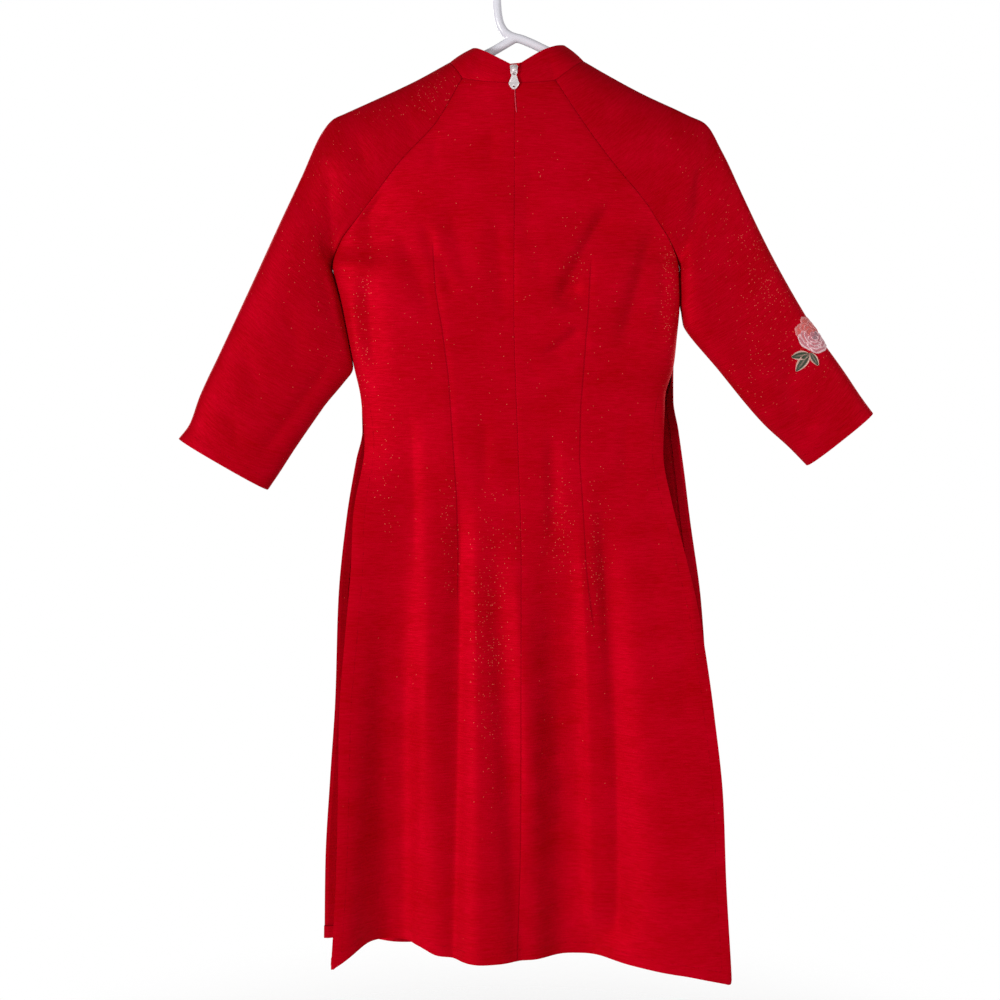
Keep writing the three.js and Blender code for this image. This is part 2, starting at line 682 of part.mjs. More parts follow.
// A kite-shaped pull with a loop at its top and a small hole near its tip, hung from its top bar.
function zipPull(name) {
  const { thickness, length, halfWidth, widest, neck, rounding, neckHalf, tipHalf } = PULL;
  const tip = PULL.tipRise - length;
  const shoulder = halfWidth - 0.6;
  const outline = new THREE.Shape();
  outline.moveTo(-neckHalf, PULL.barTop);
  outline.lineTo(neckHalf, PULL.barTop);
  outline.lineTo(PULL.barHalf, 0);
  outline.lineTo(neckHalf, -neck);
  outline.lineTo(halfWidth, -widest);
  outline.quadraticCurveTo(shoulder, -rounding, tipHalf, tip);
  outline.quadraticCurveTo(0, tip - 2 * PULL.tipRise, -tipHalf, tip);
  outline.quadraticCurveTo(-shoulder, -rounding, -halfWidth, -widest);
  outline.lineTo(-neckHalf, -neck);
  outline.lineTo(-PULL.barHalf, 0);
  const loop = new THREE.Path();
  loop.moveTo(-PULL.loopTopHalf, -PULL.barTop);
  loop.lineTo(-PULL.loopFootHalf, -PULL.loopFoot);
  loop.lineTo(PULL.loopFootHalf, -PULL.loopFoot);
  loop.lineTo(PULL.loopTopHalf, -PULL.barTop);
  const sides = 10;
  const hole = new THREE.Path(
    Array.from({ length: sides }, (_, k) => {
      const turn = (2 * Math.PI * k) / sides;
      const up = PULL.holeRise - length + PULL.holeRadius * Math.sin(turn);
      return new THREE.Vector2(PULL.holeRadius * Math.cos(turn), up);
    }),
  );
  outline.holes.push(loop, hole);
  const extrusion = { depth: thickness, bevelEnabled: false, curveSegments: 4 };
  const plate = new THREE.ExtrudeGeometry(outline, extrusion);
  plate.translate(0, 0, -thickness / 2);
  const mesh = addMesh(name, plate, COLOURS.metal);
  mesh.position.set(SLIDER.x, PULL.pivotY, PULL.pivotZ);
  mesh.rotation.x = Math.PI / 2;
}

zipTape("zip_tape");
zipSlider("zip_slider");
zipPull("zip_pull");

// ---------------------------------------------------------------- rose

// A point of the sleeve at a station, so many millimetres of cloth from the ridge towards the back, moved
// out of the cloth.
function sleeveSpot(side, station, fromRidge, out) {
  const { point } = sleeves[side];
  const steps = 80;
  const sign = fromRidge >= 0 ? -1 : 1;
  let place = 0;
  let travelled = 0;
  let before = point(station, 0);
  for (let k = 1; k <= steps && travelled < Math.abs(fromRidge); k++) {
    const share = 1 - Math.cos((Math.PI / 2) * (k / steps));
    const next = point(station, sign * share);
    const length = next.distanceTo(before);
    const part = Math.min(1, (Math.abs(fromRidge) - travelled) / length);
    place = mix(place, sign * share, part);
    travelled += length;
    before = next;
  }
  const nudge = 0.02;
  const along = point(station + nudge, place).sub(point(station - nudge, place));
  const across = point(station, place + nudge).sub(point(station, place - nudge));
  const normal = along.cross(across).normalize();
  const middle = point(station, place);
  const inside = point(station, sign * 0.5).setY(0);
  if (normal.dot(middle.clone().sub(inside)) < 0) normal.negate();
  return middle.addScaledVector(normal, out);
}

const ROSE = { side: "right", station: 9.1, stationLength: 61, fromRidge: 15 };

// Embroidery at (along, round) millimetres from the rose's centre, `out` above the cloth.
const roseSpot = (along, round, out) =>
  sleeveSpot(ROSE.side, ROSE.station + along / ROSE.stationLength, ROSE.fromRidge + round, out);

// A closed disc with a lobed rim, laid on the sleeve.
function petalLayer(name, size, lobes, out, finish) {
  const columns = 4 * lobes;
  const rings = 4;
  const spots = (lift) => {
    const list = [roseSpot(0, 0, lift)];
    for (let ring = 1; ring <= rings; ring++) {
      for (let j = 0; j < columns; j++) {
        const angle = (2 * Math.PI * j) / columns;
        const lobe = 1 - (LOBE_DEPTH / 2) * (1 + Math.cos(lobes * angle));
        const reach = (size * lobe * ring) / rings;
        list.push(roseSpot(reach * Math.cos(angle), reach * Math.sin(angle), lift));
      }
    }
    return list;
  };
  const face = spots(out + PATCH_WALL);
  const behind = spots(out);
  const under = face.length;
  const triangles = [];
  const at = (ring, j) => 1 + (ring - 1) * columns + (j % columns);
  const both = (a, b, c) => triangles.push(a, b, c, a + under, c + under, b + under);
  for (let j = 0; j < columns; j++) {
    both(0, at(1, j), at(1, j + 1));
    for (let ring = 1; ring < rings; ring++) {
      both(at(ring, j), at(ring + 1, j), at(ring + 1, j + 1));
      both(at(ring, j), at(ring + 1, j + 1), at(ring, j + 1));
    }
    const a = at(rings, j);
    const b = at(rings, j + 1);
    triangles.push(a, a + under, b + under, a, b + under, b);
  }
  addClosed(name, [...face, ...behind], triangles, finish);
}

// Adds a closed mesh, turned so that its faces point out.
function addClosed(name, points, triangles, finish) {
  const geometry = new THREE.BufferGeometry();
  const positions = points.flatMap((p) => [p.x, p.y, p.z]);
  geometry.setAttribute("position", new THREE.Float32BufferAttribute(positions, 3));
  let volume = 0;
  for (let i = 0; i < triangles.length; i += 3) {
    const [a, b, c] = triangles.slice(i, i + 3).map((k) => points[k]);
    volume += a.dot(b.clone().cross(c));
  }
  geometry.setIndex(volume > 0 ? triangles : [...triangles].reverse());
  addMesh(name, geometry, finish);
}

// A pointed leaf from its base to its tip, laid on the sleeve.
function leaf(name, base, tip, halfWidth) {
  const rows = 7;
  const shares = [-1, -0.5, 0, 0.5, 1];
  const length = Math.hypot(tip.along - base.along, tip.round - base.round);
  const way = { along: (tip.along - base.along) / length, round: (tip.round - base.round) / length };
  const grid = (lift) =>
    Array.from({ length: rows + 1 }, (_, i) => {
      const t = i / rows;
      const half = 0.5 + halfWidth * Math.sin(Math.PI * t ** 0.85) ** 0.8;
      return shares.map((share) =>
        roseSpot(
          base.along + way.along * length * t - way.round * half * share,
          base.round + way.round * length * t + way.along * half * share,
          lift,
        ),
      );
    });
  const face = grid(PATCH_LIFT + PATCH_WALL);
  const behind = grid(PATCH_LIFT);
  const out = face[3][2].clone().sub(behind[3][2]);
  const turned = wallDirection(face.slice(3).map((row) => row.slice(2))).dot(out) < 0;
  const wall = turned ? closedWall(flipped(face), flipped(behind)) : closedWall(face, behind);
  addMesh(name, wall, COLOURS.leaf);
}

petalLayer("rose_outer_petals", 22, 7, PATCH_LIFT, COLOURS.petal);
petalLayer("rose_inner_petals", 14, 5, PATCH_LIFT + LAYER_STEP, COLOURS.petal);
petalLayer("rose_heart", 6, 4, PATCH_LIFT + 2 * LAYER_STEP, COLOURS.heart);
leaf("rose_leaf_upper", { along: 14, round: 22.2 }, { along: 9.2, round: 37 }, 3.5);
leaf("rose_leaf_middle", { along: 18.5, round: 22 }, { along: 27, round: 42 }, 4);
leaf("rose_leaf_lower", { along: 19.5, round: 16 }, { along: 33, round: 15.5 }, 3);

// ---------------------------------------------------------------- hanger

// Centre lines in the hanger's plane, by hand from the hook to the arms' turned-down ends.
const HOOK_SHAFT = table(["x", "z"], [
  [HOOK_RADIUS, -32],
  [23.5, -50],
  [22.4, -72],
  [19.6, -85],
  [14, -94],
  [5, -99],
  [-4, -101.2],
  [-10, -103.6],
]);
const ARM_LEFT = table(["x", "z"], [
  [1, -99],
  [8, -103],
  [17.4, -108.5],
  [28.5, -114.7],
  [50, -124.5],
  [73, -134],
  [111, -153.7],
  [153, -172.8],
  [186, -187.3],
  [201, -196],
  [208.5, -210],
  [204, -225],
  [193, -231],
  [185, -231],
]);
const ARM_RIGHT = table(["x", "z"], [
  [-10.3, -103.7],
  [-17.1, -106.5],
  [-24.9, -110.2],
  [-34.9, -114.8],
  [-50, -122],
  [-71, -133],
  [-102, -150],
  [-139, -169.5],
  [-170, -184.5],
  [-190, -195],
  [-202, -208],
  [-200, -224],
  [-190, -231],
  [-182, -231],
]);
const HOOK_TIP_ANGLE = 215;
const HOOK_CENTRE_Z = TUBE / 2 - HOOK_RADIUS; // the rod's seat is at z = 0

const inHangerPlane = ({ x, z }) => new THREE.Vector3(x, 0, z);

function tube(points, steps, radius = TUBE / 2) {
  const section = new THREE.Shape().absarc(0, 0, radius, 0, 2 * Math.PI);
  const extrudePath = new THREE.CatmullRomCurve3(points, false, "centripetal");
  return new THREE.ExtrudeGeometry(section, { steps, extrudePath, curveSegments: 6 });
}

function hookPoints() {
  const turns = 14;
  const circle = Array.from({ length: turns + 1 }, (_, i) => {
    const angle = THREE.MathUtils.degToRad(mix(HOOK_TIP_ANGLE, 0, i / turns));
    return new THREE.Vector3(HOOK_RADIUS * Math.cos(angle), 0, HOOK_CENTRE_Z + HOOK_RADIUS * Math.sin(angle));
  });
  return [...circle, ...HOOK_SHAFT.map(inHangerPlane)];
}

addMesh("hanger_hook", tube(hookPoints(), 34), COLOURS.plastic);
addMesh("hanger_arm_right", tube(ARM_RIGHT.map(inHangerPlane), 24), COLOURS.plastic);
const hookWithGap = solidOf(tube(hookPoints(), 34, TUBE / 2 + SEAM));
const rightWithGap = solidOf(tube(ARM_RIGHT.map(inHangerPlane), 24, TUBE / 2 + SEAM));
const armLeft = solidOf(tube(ARM_LEFT.map(inHangerPlane), 24)).subtract(hookWithGap).subtract(rightWithGap);
addMesh("hanger_arm_left", geometryOf(armLeft), COLOURS.plastic);
const barLeft = ARM_LEFT[ARM_LEFT.length - 1];
const barRight = ARM_RIGHT[ARM_RIGHT.length - 1];
const barLength = barLeft.x - barRight.x - 2 * SEAM;
const barTube = new THREE.CylinderGeometry(TUBE / 2, TUBE / 2, barLength, 12);
const bar = addMesh("hanger_bar", barTube, COLOURS.plastic);
bar.rotation.z = Math.PI / 2;
bar.position.set((barLeft.x + barRight.x) / 2, 0, barLeft.z);

export default group;
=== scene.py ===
# %% [markdown]
# # A red ao dai on its hanger
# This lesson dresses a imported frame: plain solids that already have the right size and place.
# The frame is loaded first and never moved. Every piece made below lies where its solid lies, rides on a
# body of the frame, and stands in for the solid that it covers.

import math

import bpy
import numpy as np
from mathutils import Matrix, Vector


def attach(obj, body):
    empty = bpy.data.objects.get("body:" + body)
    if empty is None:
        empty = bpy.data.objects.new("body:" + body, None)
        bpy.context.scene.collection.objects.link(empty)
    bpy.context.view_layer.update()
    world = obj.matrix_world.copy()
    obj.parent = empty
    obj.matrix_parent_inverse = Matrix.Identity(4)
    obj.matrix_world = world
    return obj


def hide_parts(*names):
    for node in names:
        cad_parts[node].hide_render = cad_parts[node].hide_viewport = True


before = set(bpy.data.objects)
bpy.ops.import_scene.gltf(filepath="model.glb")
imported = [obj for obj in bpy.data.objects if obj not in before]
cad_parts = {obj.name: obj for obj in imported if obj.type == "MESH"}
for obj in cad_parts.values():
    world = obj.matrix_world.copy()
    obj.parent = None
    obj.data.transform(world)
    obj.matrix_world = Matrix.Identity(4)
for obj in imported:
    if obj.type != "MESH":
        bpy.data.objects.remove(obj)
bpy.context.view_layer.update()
GARMENT, SWINGING = "garment", "pull"
print("nodes in the frame:", len(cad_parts))

# %% [markdown]
# ## Millimetres on the pattern, metres in the scene
# A dressmaker's pattern is drawn in millimetres, so every table here is too. Meshes are written in metres,
# and this one number turns one into the other.

# %% Units and small helpers
MM = 0.001


def mix(a, b, t):
    return a + (b - a) * t


def smooth(a, b, t):
    u = np.clip((np.asarray(t, float) - a) / (b - a), 0, 1)
    return u * u * (3 - 2 * u)


def table(columns, *rows):
    """Rows with named columns, as one array for each column."""
    return {name: np.array(values, float) for name, values in zip(columns.split(), zip(*rows))}


def curve(rows, key, column):
    """A smooth curve through one column of a table, with no overshoot between its rows."""
    sign = 1.0 if rows[key][-1] > rows[key][0] else -1.0
    at, value = sign * rows[key], rows[column]
    slope = np.diff(value) / np.diff(at)
    before, after = np.append(slope[0], slope), np.append(slope, slope[-1])
    level = before * after <= 0
    tangent = np.where(level, 0, 2 * before * after / np.where(level, 1, before + after))

    def read(place):
        x = np.clip(sign * np.asarray(place, float), at[0], at[-1])
        i = np.clip(np.searchsorted(at, x, side="right") - 1, 0, len(slope) - 1)
        h = at[i + 1] - at[i]
        u = (x - at[i]) / h
        v = 1 - u
        ends = value[i] * (1 + 2 * u) * v * v + value[i + 1] * u * u * (1 + 2 * v)
        return ends + h * (tangent[i] * u * v * v - tangent[i + 1] * u * u * v)

    return read


def curves(rows, key):
    return {column: curve(rows, key, column) for column in rows}


print("smooth(0, 1, 0.5) is", float(smooth(0, 1, 0.5)))

# %% [markdown]
# ## Camera
# The dress hangs at eye level and is seen from its back, a little from above. The camera stands 1.6 m away
# on the +Y side, where the back faces.

# %% Place the camera
CAMERA_PLACE = (0.0196, 1.6, -0.446)
CAMERA_DIP = math.radians(6.065)
CAMERA_LENS = 50.37

bpy.ops.object.camera_add(location=CAMERA_PLACE, rotation=(math.pi / 2 - CAMERA_DIP, 0, math.pi))
camera = bpy.context.object
camera.data.lens = CAMERA_LENS
camera.data.sensor_width = 36
camera.data.clip_start, camera.data.clip_end = 0.01, 50
bpy.context.scene.camera = camera
print("camera height", camera.location.z)

# %% [markdown]
# ## Floor and light
# The hanger's rod would be about 1.75 m over the floor. The floor is one pale disc whose rim fades out, so
# that no horizon line runs behind the skirt. Cloth shows its folds when one side of each is lit more than
# the other: the main light is a large soft panel to the wearer's left, and the others only fill.

# %% Build the stage
scene = bpy.context.scene
scene.view_settings.view_transform = "Standard"
FLOOR_Z = -1.75
FLOOR_RADIUS = 1.6


def new_material(name):
    """A material with an empty node tree, its Principled shader and its output."""
    made = bpy.data.materials.new(name)
    made.use_nodes = True
    nodes = made.node_tree.nodes
    return made, nodes, made.node_tree.links, nodes["Principled BSDF"]


def node(nodes, kind, **settings):
    """A shader node with its properties set, and its input sockets by name or number in `inputs`."""
    inputs = settings.pop("inputs", {})
    made = nodes.new(kind)
    for name, value in settings.items():
        setattr(made, name, value)
    for name, value in inputs.items():
        made.inputs[name].default_value = value
    return made


def floor_material():
    made, nodes, links, shader = new_material("pale_floor")
    shader.inputs["Base Color"].default_value = (0.93, 0.93, 0.93, 1)
    shader.inputs["Roughness"].default_value = 0.9
    shader.inputs["Specular IOR Level"].default_value = 0.0
    place = node(nodes, "ShaderNodeTexCoord")
    reach = node(nodes, "ShaderNodeVectorMath", operation="LENGTH")
    fade = node(nodes, "ShaderNodeMapRange", interpolation_type="SMOOTHSTEP",
                inputs={"From Min": 0.5, "From Max": 1.5, "To Min": 1.0, "To Max": 0.0})
    links.new(place.outputs["Object"], reach.inputs[0])
    links.new(reach.outputs["Value"], fade.inputs["Value"])
    links.new(fade.outputs["Result"], shader.inputs["Alpha"])
    return made


bpy.ops.object.select_all(action="DESELECT")
bpy.ops.mesh.primitive_circle_add(vertices=96, radius=FLOOR_RADIUS, fill_type="NGON", location=(0, 0, FLOOR_Z))
floor = bpy.context.object
floor.name = "floor"
floor.data.materials.append(floor_material())

world = bpy.data.worlds.new("studio")
scene.world = world
world.use_nodes = True
sky_nodes, sky_links = world.node_tree.nodes, world.node_tree.links
backdrop = node(sky_nodes, "ShaderNodeBackground", inputs={"Color": (1, 1, 1, 1), "Strength": 1.0})
ambient = sky_nodes["Background"]
ambient.inputs["Color"].default_value = (1, 0.985, 0.975, 1)
ambient.inputs["Strength"].default_value = 0.16
seen = node(sky_nodes, "ShaderNodeLightPath")
chosen = node(sky_nodes, "ShaderNodeMixShader")
sky_links.new(seen.outputs["Is Camera Ray"], chosen.inputs["Fac"])
sky_links.new(ambient.outputs[0], chosen.inputs[1])
sky_links.new(backdrop.outputs[0], chosen.inputs[2])
sky_links.new(chosen.outputs[0], sky_nodes["World Output"].inputs["Surface"])

LIGHTS = [
    # name, place, size, watts
    ("main_softbox", (3.8, 3.2, -0.8), 1.2, 180),
    ("back_fill", (-2.2, 4.6, 0.0), 2.2, 47),
    ("side_fill", (-1.9, 1.1, 0.1), 0.7, 12),
    ("front_softbox", (1.6, -2.6, 0.2), 1.8, 60),
    ("front_fill", (-2.2, -1.8, -0.6), 1.6, 24),
]
LIGHT_TARGET = Vector((0, 0, -0.65))


def softbox(name, place, size, watts):
    aim = (Vector(place) - LIGHT_TARGET).to_track_quat("Z", "Y").to_euler()
    bpy.ops.object.light_add(type="AREA", location=place, rotation=aim)
    light = bpy.context.object
    light.name = name
    light.data.size = size
    light.data.energy = watts


for row in LIGHTS:
    softbox(*row)
print("lights:", len(LIGHTS))

# %% [markdown]
# ## The pattern tables
# These are the garment's own sizes. A sleeve is given by stations from the neck (0) over the shoulder to
# the cuff (11), with the underarm at station 5. The ridge is its outer fold, and the seam is the raglan seam
# and then the inner fold. The body is given by its side edges, its depth at the centre and its large folds.

# %% Sleeve and body tables
CUFF_STATION = 11
UNDERARM_STATION = 5
ROUND_EDGE = 2.5
SLEEVE_COLUMNS = "station ridgeX ridgeZ backX backZ backY frontX frontZ frontY swell"
SLEEVES = {
    "left": table(
        SLEEVE_COLUMNS,
        (0, 76, -127, 61, -148, 27, 56, -163, 28, 0),
        (1, 114, -147, 89, -195, 31, 84, -202, 35, 0),
        (2, 156, -166, 130, -238, 29, 127, -241, 33, 2),
        (3, 193, -182, 166, -283, 22, 165, -284, 25, 6),
        (3.4, 206, -188, 180, -300, 18, 179, -301, 20, 9),
        (4, 219, -203, 198, -323, 11, 198, -323, 12, 13),
        (5, 244, -255, 209, -353, 0, 209, -353, 0, 18),
        (6, 269, -306, 199.7, -392, 0, 199.7, -392, 0, 20),
        (7, 295.5, -361, 191.8, -433, 0, 191.8, -433, 0, 21),
        (8, 315.5, -402, 188.0, -463, 0, 188.0, -463, 0, 21),
        (9, 338, -448, 222, -511, 0, 222, -511, 0, 20),
        (10, 362, -497, 255, -558, 0, 255, -558, 0, 19),
        (10.6, 374.5, -529, 273.5, -586, 0, 273.5, -586, 0, 18),
        (11, 387, -545, 286, -604, 0, 286, -604, 0, 17),
    ),
    "right": table(
        SLEEVE_COLUMNS,
        (0, -74, -126, -41, -152, 36, -54, -163, 29, 0),
        (1, -105, -143, -71, -195, 33, -78, -202, 34, 0),
        (2, -142, -162, -104, -238, 30, -108, -241, 33, 2),
        (3, -176, -177, -144, -284, 23, -145, -285, 25, 6),
        (3.4, -191, -184, -155, -300, 19, -156, -301, 21, 9),
        (4, -210, -193, -171, -323, 12, -171, -323, 13, 13),
        (5, -229, -223, -183, -353, 0, -183, -353, 0, 18),
        (6, -252, -270, -184.5, -376, 0, -184.5, -376, 0, 20),
        (7, -277, -320, -185.4, -398, 0, -185.4, -398, 0, 21),
        (8, -299, -360, -188, -416, 0, -188, -416, 0, 21),
        (9, -336, -420, -231, -469.5, 0, -231, -469.5, 0, 20),
        (10, -372, -469, -281.5, -528.5, 0, -281.5, -528.5, 0, 19),
        (10.6, -393, -499, -312, -556, 0, -312, -556, 0, 18),
        (11, -406, -516, -332, -576, 0, -332, -576, 0, 17),
    ),
}
SIDES = {
    "back": table(
        "z leftX leftY rightX rightY",
        (-353, 209, 0, -183, 0),
        (-392, 199, 0, -184, 0),
        (-433, 191, 0, -181, 0),
        (-463, 186, 0, -178, 0),
        (-501, 178, 3, -167, 4),
        (-558, 174, 6, -163, 7),
        (-615, 179, 8, -173, 8),
        (-684, 183, 14, -189, 10),
        (-775, 192, 20, -209, 15),
        (-867, 201, 26, -224, 24),
        (-960, 205, 31, -235, 29),
        (-1055, 209, 34, -239, 33),
        (-1170, 217, 36, -247, 37),
    ),
    "front": table(
        "z leftX leftY rightX rightY",
        (-353, 209, 0, -183, 0),
        (-392, 199, 0, -184, 0),
        (-433, 191, 0, -181, 0),
        (-463, 186, 0, -178, 0),
        (-501, 178, 4, -179, 5),
        (-536, 178, 9, -187, 10),
        (-571, 186, 14, -193, 14),
        (-642, 199, 20, -203, 20),
        (-737, 210, 26, -217, 26),
        (-859, 216, 32, -228, 32),
        (-958, 224, 36, -235, 36),
        (-1058, 231, 38, -241, 38),
        (-1170, 234, 40, -246, 40),
    ),
}
SECTIONS = table(
    "z back front bend edge",
    (-120, 44, 46, 2, 1),
    (-160, 44, 48, 2, 1),
    (-205, 46, 50, 2, 1),
    (-283, 45, 56, 2, 1),
    (-323, 44, 57, 2.2, 0.75),
    (-353, 42, 54, 2.5, 0.4),
    (-430, 37, 45, 2.5, 0.4),
    (-463, 35, 41, 2.5, 0.45),
    (-518, 33, 37, 2.6, 0.7),
    (-600, 34, 36, 2.8, 1),
    (-1180, 34, 38, 3, 1),
)
FOLD_COLUMNS = "startX startZ hemX depth width"
LARGE_FOLDS = {
    "back": table(
        FOLD_COLUMNS,
        (141, -590, 146, -31, 46),
        (52, -540, 40, 9, 40),
        (-50, -530, -72, -26, 42),
        (-150, -620, -196, 15, 56),
    ),
    "front": table(
        FOLD_COLUMNS,
        (120, -600, 128, -20, 44),
        (35, -560, 48, 12, 38),
        (-40, -560, -45, -20, 42),
        (-130, -600, -140, 12, 44),
    ),
}
FOLD_HEM_Z = -1155
FOLD_START_WIDTH = 0.6
HEMS = {
    "back": table(
        "x z",
        (-247, -1176),
        (-189, -1163),
        (-93, -1155),
        (54, -1153.5),
        (92, -1150),
        (112, -1141),
        (133, -1137),
        (173, -1135),
        (217, -1160),
    ),
    "front": table("x z", (-246, -1160), (0, -1150), (234, -1156)),
}
HEM_CORNER_Z = {"back": {"left": -1160, "right": -1176}, "front": {"left": -1156, "right": -1160}}
CENTRE_BACK = table(
    "z x", (-150, 3.4), (-400, 4), (-560, -1), (-680, -4.5), (-1000, -4.5), (-1180, 0)
)
NECK_Z = {"back": -156, "front": -205}
NECK_POWER = {"back": 2, "front": 1.8}
SIGN = {"left": 1, "right": -1}

sleeve_curves = {side: curves(rows, "station") for side, rows in SLEEVES.items()}
side_curves = {panel: curves(rows, "z") for panel, rows in SIDES.items()}
section = curves(SECTIONS, "z")
hem_curve = {panel: curve(rows, "x", "z") for panel, rows in HEMS.items()}
centre_back = curve(CENTRE_BACK, "z", "x")
print("sleeve tables:", ", ".join(SLEEVES))

# %% [markdown]
# ## Panels as grids
# A woven panel is a grid of threads, so each one is built as a grid of points: its rows run across the
# cloth, as the weft does, and its columns run down, as the warp does. Even steps keep the mesh square, which
# keeps shading smooth where a fold turns.

# %% Points of the sleeves and of the body
def evenly(points, count):
    """Each row of points again, at even steps along its own length, and the length of each row."""
    step = np.linalg.norm(np.diff(points, axis=1), axis=2)
    run = np.concatenate([np.zeros((len(points), 1)), np.cumsum(step, axis=1)], axis=1)
    made = np.empty((len(points), count + 1, 3))
    for i, row in enumerate(points):
        target = np.linspace(0, run[i, -1], count + 1)
        for k in range(3):
            made[i, :, k] = np.interp(target, run[i], row[:, k])
    return made, run[:, -1]


def crowded(count):
    """Places from 0 to 1, close together at both ends."""
    return (1 - np.cos(np.linspace(0, np.pi, count + 1))) / 2


SLEEVE_GAP = 0.1  # from the side seam to the sleeve's inner fold where they touch
TOUCH_END = {"left": 7.8, "right": 6.7}  # the station down to which they touch


def sleeve_point(side, station, place):
    """Points of a sleeve: place is -1 at the back seam, 0 on the ridge and 1 at the front seam."""
    c = sleeve_curves[side]
    station, place = np.broadcast_arrays(np.asarray(station, float), np.asarray(place, float))
    s, back = np.abs(place), place <= 0
    closed = smooth(3.5, 6, station)
    opened = np.sqrt(np.clip(1 - (1 - s) ** 2, 0, 1))
    tube = (1 - np.abs(2 * s - 1) ** ROUND_EDGE) ** (1 / ROUND_EDGE)
    seam = {axis: np.where(back, c["back" + axis](station), c["front" + axis](station)) for axis in "XYZ"}
    beside_body = side_curves["back"][side + "X"](seam["Z"]) + SIGN[side] * SLEEVE_GAP
    touching = smooth(5, 5.2, station) * smooth(TOUCH_END[side] + 0.6, TOUCH_END[side], station)
    seam["X"] = mix(seam["X"], beside_body, touching)
    depth = seam["Y"] * opened + c["swell"](station) * mix(np.sin(np.pi * s), tube, closed)
    x = mix(c["ridgeX"](station), seam["X"], s)
    z = mix(c["ridgeZ"](station), seam["Z"], s)
    return np.stack([x, np.where(back, depth, -depth), z], axis=-1)


def large_folds(panel, x, z):
    total = np.zeros_like(x)
    folds = LARGE_FOLDS[panel]
    for k in range(len(folds["depth"])):
        fold = {name: column[k] for name, column in folds.items()}
        down = np.clip((fold["startZ"] - z) / (fold["startZ"] - FOLD_HEM_Z), 0, 1)
        middle = mix(fold["startX"], fold["hemX"], down)
        width = mix(FOLD_START_WIDTH, 1, down) * fold["width"]
        total += fold["depth"] * smooth(0, 1, down) ** 0.8 * np.exp(-(np.abs((x - middle) / width) ** 3))
    return total


def panel_depth(panel, x, z, u, edge_depth):
    """Depth of a body panel at the share u from its centre line (0) to its side edge (1)."""
    centre = section[panel](z)
    across = (1 - np.clip(u, 0, 1) ** section["bend"](z)) ** section["edge"](z)
    return edge_depth + (centre - edge_depth) * across + large_folds(panel, x, z) * (1 - u**6)


def panel_rim(panel, side, rows):
    """The outer edge of half a panel: rows[0] steps down the raglan seam, then rows[1] down the side."""
    c, s = sleeve_curves[side], side_curves[panel]
    stations = np.linspace(0, UNDERARM_STATION, 400)
    seam_z = c[panel + "Z"](stations)
    upper_z = np.linspace(seam_z[0], seam_z[-1], rows[0] + 1)
    upper = np.interp(-upper_z, -seam_z, stations)
    lower_z = np.linspace(seam_z[-1], HEM_CORNER_Z[panel][side], rows[1] + 1)[1:]
    x = np.concatenate([c[panel + "X"](upper), s[side + "X"](lower_z)])
    y = np.concatenate([c[panel + "Y"](upper), s[side + "Y"](lower_z)])
    return x, y, np.concatenate([upper_z, lower_z])


def half_panel(panel, side, rows, columns):
    """Half a body panel from its centre line to its side edge, as an even grid."""
    rim_x, rim_y, rim_z = (values[:, None] for values in panel_rim(panel, side, rows))
    u = np.sin(np.linspace(0, np.pi / 2, 500))[None, :]
    top = rim_z[0, 0]
    down = (rim_z - top) / (rim_z[-1, 0] - top)
    hem = hem_curve[panel](u * rim_x[-1, 0])
    neck = mix(NECK_Z[panel], top, u ** NECK_POWER[panel])
    z = np.where(u >= 1, rim_z, mix(neck, hem, down))
    centre = centre_back(z) if panel == "back" else 0 * z
    x = mix(centre, rim_x, u)
    y = panel_depth(panel, x, z, u, rim_y)
    return evenly(np.stack([x, y if panel == "back" else -y, z], axis=-1), columns)


half_widths = half_panel("back", "left", (10, 40), 10)[1]
print("left back panel is", round(half_widths.max()), "mm wide at its hem")

# %% [markdown]
# ## Creases
# Silk shantung is crisp. It hangs in long soft folds from the waist, breaks into short creases where the
# sleeve meets the body, and pulls towards its darts. Each crease is one row of a table: three points that
# it passes, its height (a trough is negative), and its half width on the wearer's left and right of the
# line, so that one flank can be steep and the other soft. `fadeIn` and `fadeOut` are shares of its length.

